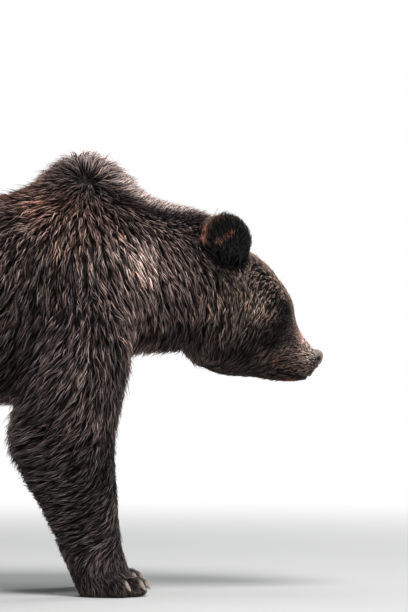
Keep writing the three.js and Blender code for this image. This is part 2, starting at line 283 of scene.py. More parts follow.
# Depth is how far the hair stands over the skin, length is the hair's own, width is one tuft's,
# gap is the way from one tuft to the next, lift makes hair stand up more steeply,
# and lock is how much the tufts gather into locks.
coatPlan = {
    "trunk": {"depth": 0.025, "length": 0.052, "width": 0.0028, "gap": 0.0050, "lift": 1, "lock": 1},
    "neck": {"depth": 0.023, "length": 0.042, "width": 0.0025, "gap": 0.0043, "lift": 1, "lock": 1},
    "tail": {"depth": 0.016, "length": 0.050, "width": 0.0036, "gap": 0.0050, "lift": 1.2, "lock": 0.8},
    "upper_arm": {"depth": 0.023, "length": 0.046, "width": 0.0026, "gap": 0.0046, "lift": 1, "lock": 1},
    "forearm": {"depth": 0.015, "length": 0.036, "width": 0.0025, "gap": 0.0047, "lift": 1, "lock": 0.75},
    "forepaw": {"depth": 0.007, "length": 0.025, "width": 0.0020, "gap": 0.0034, "lift": 1, "lock": 0.5},
    "thigh": {"depth": 0.025, "length": 0.060, "width": 0.0035, "gap": 0.0060, "lift": 1, "lock": 1},
    "shank": {"depth": 0.015, "length": 0.046, "width": 0.0034, "gap": 0.0062, "lift": 1, "lock": 0.9},
    "hindpaw": {"depth": 0.007, "length": 0.025, "width": 0.0025, "gap": 0.0044, "lift": 1, "lock": 0.5},
    "head": {"depth": 0.0095, "length": 0.025, "width": 0.0022, "gap": 0.0032, "lift": 1, "lock": 1.1},
    "jaw": {"depth": 0.0075, "length": 0.022, "width": 0.0020, "gap": 0.0031, "lift": 1, "lock": 0.6},
    "ear": {"depth": 0.008, "length": 0.019, "width": 0.0015, "gap": 0.0026, "lift": 1.4, "lock": 0.4},
}

# Where the coat changes inside a node: each number multiplies the plan's there.
coatTouches = [
    ("nose", (0.3, 0, 0.5), 0.055, {"depth": 0.22, "length": 0.36, "width": 0.48, "gap": 0.62, "lock": 0}),
    ("jaw", (0.9, 0, 0.5), 0.055, {"depth": 0.4, "length": 0.45, "width": 0.6, "gap": 0.72, "lock": 0.3}),
    ("head", (0.86, 0.1, 0.38), 0.055,
     {"depth": 0.42, "length": 0.42, "width": 0.48, "gap": 0.68, "lock": 0}),
    ("head", (0.82, 0.6, 0.22), 0.045,
     {"depth": 0.75, "length": 0.6, "width": 0.7, "gap": 0.84, "lock": 0.3}),
    ("eye", boxMiddle, 0.024, {"depth": 0.25, "length": 0.36, "width": 0.5, "gap": 0.62, "lock": 0.1}),
    ("head", (0.30, 1.0, 0.4), 0.070, {"depth": 1.5, "length": 1.5, "width": 1.3, "gap": 1.15}),
    ("trunk", (0.88, 0.2, 1.0), 0.085,
     {"lift": 1.35, "length": 0.95, "width": 0.9, "gap": 0.92, "lock": 0.6}),
    ("trunk", (0.889, 0.52, 0.865), 0.045,
     {"gap": 0.72, "width": 0.9, "depth": 0.85, "lift": 1.2, "lock": 0.3}),
    ("trunk", (0.97, 0.2, 0.86), 0.060, {"gap": 0.85, "width": 0.9, "length": 0.72, "lock": 0.3}),
    ("neck", (0.35, 0.3, 0.88), 0.070, {"gap": 0.85, "width": 0.9, "length": 0.72, "lock": 0.3}),
    ("forearm", (1.0, 0.5, 0.5), 0.055, {"depth": 0.45}),
    ("forearm", (1.0, 0.5, 0.15), 0.045, {"depth": 0.45}),
    ("forearm", (1.0, 0.5, 0.9), 0.055, {"depth": 0.6}),
    ("neck", (0.4, 0.1, 0.95), 0.110, {"lift": 1.3, "length": 0.8, "width": 0.9}),
    ("ear", (0.6, 0.9, 0.5), 0.018, {"depth": 0.7, "length": 0.8}),
    ("ear", (0.95, 0.4, 0.7), 0.028, {"length": 0.9, "lift": 1.0, "depth": 0.85}),
    ("ear", (0.3, 0.4, 0.95), 0.022, {"length": 1.15, "lift": 1.5}),
    ("head", (0.66, 0, 0.80), 0.050, {"lift": 1.35}),
    ("forepaw", (0.95, 0.5, 0.35), 0.045, {"length": 1.35, "lift": 1.35}),
    ("hindpaw", (0.95, 0.5, 0.35), 0.040, {"length": 1.3, "lift": 1.3}),
    ("trunk", (0.5, 0.3, 0.0), 0.200, {"length": 1.25}),
    ("neck", (0.5, 0.3, 0.0), 0.080, {"length": 1.15, "lift": 1.3}),
    ("upper_arm", (0.1, 0.5, 0.10), 0.090, {"length": 1.2, "lift": 1.45}),
    ("forearm", (0.0, 0.5, 0.75), 0.070, {"length": 1.3, "lift": 1.5}),
    ("shank", (0.0, 0.5, 0.75), 0.080, {"length": 1.25, "lift": 1.3}),
]


def ungroup(groups):
    return [(node, *row) for node, rows in groups for row in rows]


def touches(rows, spots):
    # The rows of a table for both sides of the body, each place moved to the nearest of the spots
    for node, share, *rest in rows:
        for label in sideOf:
            if label == "right" or share[1] > 0 or f"{node}_{label}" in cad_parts:
                place = spot(node, share, label)
                yield (spots[np.sum((spots - place) ** 2, axis=1).argmin()], label, *rest)


def layFields(skin):
    # The coat plan as numbers on the coarse skin, smoothed from one region to the next
    spots, edges = spotsOf(skin.data), edgesOf(skin.data)
    names = [regionOf[formNodes[number]] for number in nearestFlesh(spots)[1]]
    for key in coatPlan["trunk"]:
        values = smoothOver(edges, [coatPlan[name][key] for name in names], skinPlan["depthBlend"])
        for place, _, reach, changes in touches(coatTouches, spots):
            values = values * (1 + (changes.get(key, 1) - 1) * near(spots, place, reach))
        addAttribute(skin.data, key, values)
    colours = smoothOver(edges, [coatColours[name] for name in names], skinPlan["colourBlend"])
    addAttribute(skin.data, "markingsAndPaintedLight", colours)


def tint(red, green, blue):
    # A colour as painted (0 to 255) in the linear numbers that Blender works in
    values = np.array([red, green, blue]) / 255
    return np.where(values <= 0.04045, values / 12.92, ((values + 0.055) / 1.055) ** 2.4)


coatColours = {
    "trunk": tint(122, 105, 99), "neck": tint(150, 130, 124), "tail": tint(100, 84, 77),
    "upper_arm": tint(122, 108, 104), "forearm": tint(78, 72, 71), "forepaw": tint(104, 93, 90),
    "thigh": tint(106, 91, 85), "shank": tint(80, 72, 70), "hindpaw": tint(96, 86, 83),
    "head": tint(138, 120, 111), "jaw": tint(62, 56, 54), "ear": tint(40, 38, 38),
}

layFields(skin)
print("coat plan laid on the skin")

facePlan = {"face": 0.28, "muzzle": 0.64, "eye": 0.024, "lips": 0.006, "corner": 0.01}
mouthPlan = {
    "flat": 0.9, "corner": 0.74, "open": 0.012, "farthest": 0.03, "nearest": 0.02,
    "lipEdge": 0.0032, "lipMiddle": 0.0020,
    "folds": [(-0.0034, 0, 0.0013), (0.0011, 0.0036, 0.0018), (0.0006, -0.0034, 0.0016)],
}


def jawTop():
    # The plane where the jaws meet: a place on it and the way it faces
    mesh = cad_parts["jaw"].data
    top = [face for face in mesh.polygons if face.normal.z > mouthPlan["flat"]]
    area = sum(face.area for face in top)
    place = sum((face.center * face.area for face in top), Vector()) / area
    normal = sum((face.normal * face.area for face in top), Vector()).normalized()
    return np.array(place), np.array(normal)


mouthPlace, mouthUp = jawTop()
mouthCorner = spot("jaw", (mouthPlan["corner"], 0, 0))[0]


def mouthHeight(spots):
    return (spots - mouthPlace) @ mouthUp


def refine(skin, wanted):
    # Halves the faces whose middles are wanted, then eases them
    mesh = skin.data
    chosen = wanted(fetch(mesh.polygons, "center", 3))
    scene.tool_settings.mesh_select_mode = (False, False, True)
    editMesh(skin, lambda: bpy.ops.mesh.select_all(action="DESELECT"))
    mesh.polygons.foreach_set("select", chosen)
    bpy.ops.object.mode_set(mode="EDIT")
    bpy.ops.mesh.subdivide(number_cuts=1)
    bpy.ops.mesh.vertices_smooth(factor=0.5, repeat=2)
    bpy.ops.object.mode_set(mode="OBJECT")


# The claws' places, and the toes behind them

toePlan = {
    "height": 0.06, "reach": 0.030, "back": 0.036, "front": -0.004, "drop": 0.0165, "radius": 0.0150,
    "root": 0.8, "bend": 1.1,
}
clawNodes = [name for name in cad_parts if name.startswith("claw")]


def clawLine(name):
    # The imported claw's root, tip and the bend between them
    spots = spotsOf(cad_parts[name].data)
    tip = spots[(spots[:, 0] - spots[:, 2]).argmax()]
    far = lengthOf(spots - tip)
    root = spots[far > np.quantile(far, toePlan["root"])].mean(axis=0)
    bend = 3 * spots.mean(axis=0) - root - tip
    return root, (root + tip) / 2 + (bend - (root + tip) / 2) * toePlan["bend"], tip


clawLines = {name: clawLine(name) for name in clawNodes}


def toeLine(name):
    # The middle line of the toe behind a claw
    root, _, tip = clawLines[name]
    ahead = unit((tip - root) * [1, 1, 0])
    drop = np.array([0, 0, toePlan["drop"]])
    return root - ahead * toePlan["back"] - drop, root - ahead * toePlan["front"] - drop


def fromToes(spots):
    # How far each spot is from the nearest toe's middle line, and the way out from it
    best, away = np.full(len(spots), np.inf), np.zeros_like(spots)
    for name in clawNodes:
        out = fromLine(spots, *toeLine(name))
        far = lengthOf(out)
        nearer = far < best
        best[nearer], away[nearer] = far[nearer], out[nearer]
    return best, unit(away)


def nearEyes(middles):
    gaps = [lengthOf(middles - spot("eye", boxMiddle, label)) for label in sideOf]
    return np.minimum(*gaps) < facePlan["eye"]


def nearLips(middles):
    ahead = middles[:, 0] > mouthCorner - facePlan["corner"]
    return ahead & (np.abs(mouthHeight(middles)) < facePlan["lips"])


def nearToes(middles):
    return (middles[:, 2] < toePlan["height"]) & (fromToes(middles)[0] < toePlan["reach"])


for part in ("face", "muzzle"):
    back = spot("head", (facePlan[part], 0, 0))[0]
    refine(skin, lambda middles: (middles[:, 0] > back) | nearToes(middles))
refine(skin, lambda middles: nearEyes(middles) | nearLips(middles))
print("face and toes refined", len(skin.data.polygons))

skinEdges = edgesOf(skin.data)
outerSpots = spotsOf(skin.data)
region = np.array([regionOf[formNodes[number]] for number in nearestFlesh(outerSpots)[1]])
coat = {key: readAttribute(skin.data, key) for key in coatPlan["trunk"]}

solePlan = {"down": (0.55, 0.9), "low": (-0.016, -0.006), "bare": 0.9}


def isSole(spots, facing):
    # 1 on what faces down and stands on the floor
    return ramp(-facing[:, 2], *solePlan["down"]) * ramp(-spots[:, 2], *solePlan["low"])


def sinkSkin():
    # Lays the skin under the coat's outside by the coat's depth
    facing = unit(smoothOver(skinEdges, normalsOf(skin.data), skinPlan["facing"]))
    sole = isSole(outerSpots, normalsOf(skin.data))
    shrunk = np.sum((nearestFlesh(outerSpots)[0] - outerSpots) * facing, axis=1)
    depth = coat["depth"] * (1 - solePlan["bare"] * sole)
    depth = depth - smoothOver(skinEdges, shrunk, skinPlan["regain"])
    spots = smoothOver(skinEdges, outerSpots - facing * depth[:, None], skinPlan["ease"])
    spots[sole > 0.5, 2] = skinPlan["sole"]
    spots[:, 2] = np.maximum(spots[:, 2], skinPlan["sole"])
    return spots, sole


skinSpots, sole = sinkSkin()
print("skin laid under the coat")

# Eyes, lids and mouth in the skin

eyePlan = {
    "gaze": (0.62, 0.78, 0.04), "tilt": math.radians(14), "setback": 0.0092,
    "wide": 0.0080, "over": 0.0047, "under": 0.0036, "overRound": 0.75, "underRound": 0.85, "rim": 0.0010,
    "lid": 1.09, "clear": 1.07, "pit": 0.62, "fade": (0.0006, 0.0080), "bare": (-0.0026, -0.0014),
    "front": (0.0, 0.35), "reach": (-3.2, -2.2), "upper": (-0.05, 0.15),
    "overFolds": [(0.0008, 0.0026, 0.0010), (-0.0010, 0.0047, 0.0011), (0.0016, 0.0085, 0.0026)],
    "underFolds": [(0.0006, 0.0024, 0.0010), (-0.0007, 0.0042, 0.0010)],
}


def eyeFrame(label):
    # The eye's middle, its gaze, the ways along and up its opening, and its radius
    side = sideOf[label]
    low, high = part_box(f"eye_{label}")
    radius = (high.x - low.x) / 2
    gaze = unit(np.array(eyePlan["gaze"]) * [1, side, 1])
    back = unit(np.cross([0, 0, 1], gaze)) * side
    up = unit(np.cross(gaze, back)) * side * -1
    up = up * np.sign(up[2])
    tilt = eyePlan["tilt"]
    back, up = back * math.cos(tilt) + up * math.sin(tilt), up * math.cos(tilt) - back * math.sin(tilt)
    surface = skinSpots[lengthOf(skinSpots - np.array((low + high) / 2)).argmin()]
    return surface - gaze * eyePlan["setback"], gaze, back, up, radius


def lidEdges(along, wide):
    # How far the eye's opening reaches up and down at places along it
    rest = 1 - np.clip(np.abs(along) / wide, 0, 1) ** 2
    over, under = eyePlan["over"], eyePlan["under"]
    return over * rest ** eyePlan["overRound"], -under * rest ** eyePlan["underRound"]


def lidGap(along, up):
    # How far a place is outside the eye's opening, and below nothing inside it
    wide = eyePlan["wide"]
    top, low = lidEdges(along, wide)
    inner = np.maximum(up - top, low - up)
    outer = np.hypot(np.maximum(np.abs(along) - wide, 0), up)
    return np.where(np.abs(along) < wide, inner, outer)


def folds(rows, gap):
    # Soft ridges and furrows: each row is a height, where its middle lies and how far it reaches
    return sum(height * bell(gap - place, reach) for height, place, reach in rows)


def sculptEyes(spots):
    # Draws the lids round the eyeballs and sinks the skin inside the openings
    rims = np.zeros(len(spots))
    for label in sideOf:
        centre, gaze, back, up, radius = eyeFrames[label]
        far = lengthOf(spots - centre)
        ways = unit(spots - centre)
        gap = lidGap(ways @ back * radius, ways @ up * radius)
        reach = ramp(ways @ gaze, *eyePlan["front"])
        reach *= ramp(-far, *(share * radius for share in eyePlan["reach"]))
        above = ramp(ways @ up, *eyePlan["upper"])
        fold = above * folds(eyePlan["overFolds"], gap) + (1 - above) * folds(eyePlan["underFolds"], gap)
        share = ramp(gap, *eyePlan["fade"])
        lid = eyePlan["lid"] * radius * (1 - share) + far * share
        target = np.where(gap < 0, eyePlan["pit"] * radius, np.maximum(lid, eyePlan["clear"] * radius) + fold)
        spots = spots + ways * ((target - far) * reach)[:, None]
        rims = np.maximum(rims, reach * ramp(-gap, *eyePlan["bare"]))
    return spots, rims


chinPlan = {"place": (0.86, 0, 0), "reach": 0.034, "lift": 0.007, "start": 0.004, "end": 0.016}


def raiseChin(spots):
    # Lifts the underside of the chin a little, below the lips
    share = near(spots, spot("jaw", chinPlan["place"]), chinPlan["reach"])
    share *= ramp(-mouthHeight(spots), chinPlan["start"], chinPlan["end"])
    return spots + mouthUp * (chinPlan["lift"] * share)[:, None]


def sculptMouth(spots, facing):
    # Folds the lips along the line where the jaws meet, and says how bare the skin is there
    height = mouthHeight(spots)
    within = ramp(spots[:, 0], mouthCorner, mouthCorner + mouthPlan["open"])
    within *= ramp(np.abs(height), mouthPlan["farthest"], mouthPlan["nearest"])
    push = folds(mouthPlan["folds"], height) * within
    bare = within * ramp(-np.abs(height), -mouthPlan["lipEdge"], -mouthPlan["lipMiddle"])
    return spots + facing * push[:, None], bare


def sculptToes(spots):
    # Swells the skin into a round toe behind each claw, then eases it there
    far, away = fromToes(spots)
    push = np.where(spots[:, 2] > 2 * skinPlan["sole"], np.maximum(toePlan["radius"] - far, 0), 0)
    spots = spots + away * push[:, None]
    return np.where(push[:, None] > 0, smoothOver(skinEdges, spots, 2), spots)


nosePlan = {
    "divisions": 6, "deep": 0.0168, "wide": 0.0225, "tall": 0.0188, "middle": (0.48, 0, 0.71),
    "pitch": math.radians(8), "square": 0.84, "narrow": 0.22, "lean": 0.06, "flat": 0.0035,
    "seat": 1.10, "bed": 0.82, "bare": 1.0, "behind": -0.2, "least": 0.2,
    "pushFrom": (-0.6, 0, 0), "holeShape": (1.0, 0.8, 0.9),
    "slit": [
        (0.50, 0.82, -0.14), (0.36, 0.90, -0.46), (0.14, 0.97, -0.62), (-0.06, 1, -0.44), (-0.12, 1, -0.12),
    ],
    "holeDeep": 0.0090, "holeWide": 0.0048, "slitDeep": 0.0050, "slitWide": 0.0021,
    "groove": (0.35, -0.1), "grooveDeep": 0.0020, "grooveWide": 0.0012, "shaded": 0.004,
}
noseSize = np.array([nosePlan["deep"], nosePlan["wide"], nosePlan["tall"]])
noseMiddle = spot("nose", nosePlan["middle"])
noseCos, noseSin = math.cos(nosePlan["pitch"]), math.sin(nosePlan["pitch"])
noseTurn = np.array([[noseCos, 0, -noseSin], [0, 1, 0], [noseSin, 0, noseCos]])


def nosePoint(share):
    # A place on the nose, as shares of its half sizes out from its middle
    return noseMiddle + np.array(share) * noseSize @ noseTurn


def noseShare(spots):
    return (spots - noseMiddle) @ noseTurn.T / noseSize


def seatNose(spots):
    # Presses a bed into the muzzle for the nose to sit in
    share = noseShare(spots)
    size = lengthOf(share)
    inside = (size < nosePlan["seat"]) & (share[:, 0] > nosePlan["behind"])
    bed = spots + (nosePlan["bed"] / np.maximum(size, nosePlan["least"]) - 1)[:, None] * (spots - noseMiddle)
    return np.where(inside[:, None], bed, spots)


eyeFrames = {label: eyeFrame(label) for label in sideOf}
skinSpots, eyeRims = sculptEyes(skinSpots)
skinSpots = raiseChin(seatNose(sculptToes(skinSpots)))
skinSpots, lips = sculptMouth(skinSpots, unit(smoothOver(skinEdges, normalsOf(skin.data), 4)))
moveTo(skin.data, skinSpots)
print("eyes and mouth opened")

# The lie of the coat

# Which way the hair points at places on the body, as forwards, outwards and up: the place's share of its
# node's box comes first.
lie = [
    ("trunk", [
        ((0.1, 0.2, 0.9), (-1, 0.1, -0.2)), ((0.3, 0.2, 0.86), (-1, 0.12, -0.05)),
        ((0.5, 0.2, 0.85), (-1, 0.15, -0.05)), ((0.68, 0.2, 0.86), (-1, 0.2, -0.1)),
        ((0.15, 0.9, 0.65), (-0.7, 0.1, -0.7)), ((0.35, 0.95, 0.6), (-0.75, 0.1, -0.65)),
        ((0.55, 1, 0.6), (-0.7, 0, -0.7)), ((0.7, 0.95, 0.62), (-0.5, 0.1, -0.85)),
        ((0.35, 1, 0.35), (-0.75, 0, -0.6)), ((0.55, 1, 0.35), (-0.7, 0, -0.65)),
        ((0.68, 0.95, 0.35), (-0.6, 0, -0.75)), ((0.3, 0.3, 0), (-0.9, 0.15, -0.1)),
        ((0.5, 0.3, 0), (-0.9, 0.15, -0.1)), ((0.68, 0.3, 0), (-0.8, 0.1, -0.2)),
        ((0.88, 0.85, 0.62), (-0.02, 0.1, -1)), ((0.8, 0.9, 0.6), (-0.28, 0.1, -0.95)),
        ((0.96, 0.8, 0.55), (0.25, 0.1, -0.95)), ((0.76, 0.5, 0.82), (-0.85, 0.3, -0.4)),
        ((0.7, 0.6, 0.75), (-0.7, 0.3, -0.55)), ((0.95, 0.2, 0.08), (0, 0, -1)),
        ((0, 0.2, 0.6), (-0.2, 0.1, -1)), ((0.03, 0.6, 0.6), (-0.3, 0.2, -0.9)),
    ]),
    ("neck", [
        ((0.1, 0, 1), (0.75, 0, 0.5)), ((0.5, 0, 0.95), (0.85, 0, 0.35)), ((0.9, 0, 0.85), (0.9, 0, 0.1)),
        ((0.1, 0.35, 0.93), (0.8, -0.3, 0.45)), ((0.5, 0.35, 0.85), (0.85, -0.25, 0.3)),
        ((0.9, 0.4, 0.72), (0.9, -0.2, 0)), ((0.1, 0.8, 0.72), (0.42, 0.25, -0.87)),
        ((0.5, 0.85, 0.6), (0.45, 0.2, -0.87)), ((0.9, 0.8, 0.45), (0.4, 0.15, -0.9)),
        ((0.1, 1, 0.45), (0.3, 0, -0.95)), ((0.5, 1, 0.35), (0.3, 0, -0.95)),
        ((0.9, 0.95, 0.3), (0.12, 0, -1)), ((0.5, 0.3, 0), (-0.4, 0.1, -0.9)),
    ]),
    ("head", [
        ((0.47, 0, 1), (-0.8, 0, 0.45)), ((0.63, 0, 0.815), (-0.62, 0, 0.78)),
        ((0.79, 0, 0.58), (-0.4, 0, 0.92)), ((0.835, 0, 0.42), (-0.45, 0, 0.9)),
        ((0.92, 0, 0.25), (-0.7, 0, 0.6)), ((0.6, 0.55, 0.72), (-0.75, 0.2, -0.55)),
        ((0.64, 0.8, 0.5), (-0.65, 0.2, -0.7)), ((0.42, 1, 0.565), (-0.3, 0.1, -0.95)),
        ((0.455, 0.95, 0.29), (-0.45, 0, -0.88)), ((0.23, 0.9, 0.25), (-0.2, 0, -1)),
        ((0.75, 0.6, 0.29), (-0.75, 0.15, -0.55)), ((0.9, 0.33, 0.12), (-0.85, 0.1, 0.1)),
    ]),
    ("jaw", [
        ((0.3, 0.3, 0), (-0.95, 0.1, -0.2)), ((0.7, 0.3, 0.05), (-0.95, 0.1, -0.15)),
        ((1, 0, 0.3), (-0.6, 0, -0.8)), ((0.6, 0.8, 0.4), (-0.85, 0.1, -0.4)),
    ]),
    ("upper_arm", [
        ((0.5, 1, 0.8), (0, 0.05, -1)), ((0.95, 0.6, 0.6), (0.08, 0, -1)),
        ((0.79, 0.9, 0.45), (0.05, 0, -1)), ((0.05, 0.6, 0.4), (-0.7, 0, -0.7)),
        ((0.39, 0.9, 0.37), (-0.7, 0, -0.72)), ((0.6, 1, 0.32), (-0.45, 0, -0.88)),
        ((0.25, 0.9, 0.55), (-0.55, 0, -0.83)), ((0.5, 0, 0.3), (-0.2, 0, -1)),
        ((0.22, 0.8, 0.05), (-0.88, 0, -0.45)), ((0.52, 1, 0.06), (-0.65, 0, -0.75)),
        ((0.8, 0.9, 0.1), (-0.1, 0.1, -0.98)),
    ]),
    ("forearm", [
        ((0.95, 0.5, 0.8), (-0.2, 0.35, -0.9)), ((0.97, 0.5, 0.3), (-0.3, 0.5, -0.8)),
        ((0.8, 0.85, 0.85), (-0.3, 0.2, -0.93)), ((0.85, 0.8, 0.5), (-0.75, 0.3, -0.5)),
        ((0.5, 1, 0.85), (-0.9, 0, -0.4)), ((0.2, 0.8, 0.85), (-0.97, 0, -0.2)),
        ((0.5, 1, 0.5), (-0.97, 0, -0.18)), ((0.6, 1, 0.15), (-0.95, 0, -0.25)),
        ((0.85, 0.8, 0.15), (-0.85, 0.3, -0.35)), ((0.05, 0.5, 0.6), (-0.9, 0, -0.4)),
        ((0.3, 0.5, 0.1), (-0.9, 0, -0.35)), ((0.5, 0, 0.5), (-0.7, 0, -0.6)),
    ]),
    ("forepaw", [
        ((0.55, 0.5, 0.9), (0.6, 0, -0.75)), ((0.85, 0.5, 0.5), (0.9, 0, -0.45)),
        ((0.3, 1, 0.85), (-0.6, 0, -0.7)), ((0.45, 1, 0.5), (0.5, 0.1, -0.85)),
        ((0, 0.5, 0.5), (-0.3, 0, -0.95)), ((0.4, 0, 0.5), (0.25, -0.1, -0.95)),
    ]),
    ("thigh", [
        ((0.4, 1, 0.8), (-0.5, 0.05, -0.85)), ((0.5, 1, 0.45), (-0.4, 0, -0.9)),
        ((0.95, 0.6, 0.4), (-0.2, 0, -0.95)), ((0.05, 0.6, 0.4), (-0.3, 0, -0.95)),
        ((0.5, 0, 0.3), (-0.3, 0, -0.95)),
    ]),
    ("shank", [
        ((0.5, 1, 0.5), (-0.35, 0, -0.93)), ((0.95, 0.5, 0.5), (-0.1, 0, -1)),
        ((0.05, 0.5, 0.5), (-0.4, 0, -0.9)), ((0.5, 0, 0.5), (-0.3, 0, -0.95)),
    ]),
    ("hindpaw", [
        ((0.2, 0.5, 1), (0.05, 0, -1)), ((0.55, 0.5, 0.7), (0.85, 0, -0.5)),
        ((0.9, 0.5, 0.4), (0.92, 0, -0.4)), ((0.45, 1, 0.4), (0.4, 0.1, -0.9)),
        ((0.45, 0, 0.4), (0.4, -0.1, -0.9)), ((0, 0.5, 0.4), (-0.2, 0, -0.95)),
    ]),
    ("tail", [((0.5, 0, 0.5), (-0.5, 0, -0.85))]),
]
parting = {
    "line": [("trunk", 0.894, 0.870), ("trunk", 0.947, 0.820), ("neck", 0.142, 0.884), ("neck", 0.35, 0.850),
             ("neck", 0.62, 0.835)],
    "above": (0.72, -0.3, 0.6), "below": (0.42, 0.2, -0.88), "reach": 0.045, "edge": 0.007, "strength": 5,
    "fade": (0.01, 0.02),
}
whorl = {"ends": [("trunk", 0.882, 0.878), ("trunk", 0.891, 0.870)], "reach": 0.080, "strength": 9}
lieReach = {"least": 0.03, "reach": 0.05, "outward": -0.1, "earRoot": (0.45, 0.3, -0.1)}


def flankSpot(node, along, up, label):
    # The place on the skin that shows at these shares of the node's box when seen from the side
    aim = spot(node, (along, 0, up), label)
    side = sideOf[label]
    facesOut = (skinFacing[:, 1] * side > lieReach["outward"]) & (skinSpots[:, 1] * side > 0)
    gap = np.hypot(skinSpots[:, 0] - aim[0], skinSpots[:, 2] - aim[2])
    return skinSpots[np.where(facesOut, gap, np.inf).argmin()]


def alongLine(spots, label):
    # How far above the parting each place is, and how much the parting counts there
    line = np.array([flankSpot(*place, label) for place in parting["line"]])
    height = spots[:, 2] - np.interp(spots[:, 0], line[:, 0], line[:, 2])
    past, within = parting["fade"]
    inside = ramp(spots[:, 0], line[0, 0] - past, line[0, 0] + within)
    inside *= ramp(-spots[:, 0], -line[-1, 0] - within, -line[-1, 0] + past)
    inside *= spots[:, 1] * sideOf[label] > 0
    return height, inside


def fromWhorl(spots, label):
    # The way out from the nearest place on the whorl's short seam, and how far off it is
    away = fromLine(spots, *(flankSpot(*place, label) for place in whorl["ends"]))
    return unit(away), lengthOf(away)


def isEar(spots, label):
    return (region == "ear") & (spots[:, 1] * sideOf[label] > 0)


def layCoat(spots, facing):
    # The way the hair lies at every vertex of the skin
    total = np.zeros_like(spots)
    for place, label, way in touches(ungroup(lie), spots):
        gap = np.sum((spots - place) ** 2, axis=1) + lieReach["least"] ** 2
        total += np.array(way) * [1, sideOf[label], 1] * (lieReach["reach"] ** 4 / gap[:, None] ** 2)
    total = unit(total)
    for label, side in sideOf.items():
        height, inside = alongLine(spots, label)
        share = ramp(height, -parting["edge"], parting["edge"])[:, None]
        above, below = (np.array(parting[key]) * [1, side, 1] for key in ("above", "below"))
        pull = parting["strength"] * inside * bell(height, parting["reach"])
        total = unit(total + (above * share + below * (1 - share)) * pull[:, None])
        away, far = fromWhorl(spots, label)
        total = unit(total + away * (whorl["strength"] * bell(far, whorl["reach"]))[:, None])
        ear = isEar(spots, label)
        total[ear] = unit(spots[ear] - spot("ear", lieReach["earRoot"], label))
    along = total - facing * np.sum(total * facing, axis=1)[:, None]
    return unit(smoothOver(skinEdges, unit(along), 2))


skinFacing = unit(smoothOver(skinEdges, normalsOf(skin.data), 2))
hairWay = layCoat(skinSpots, skinFacing)
print("coat laid out")
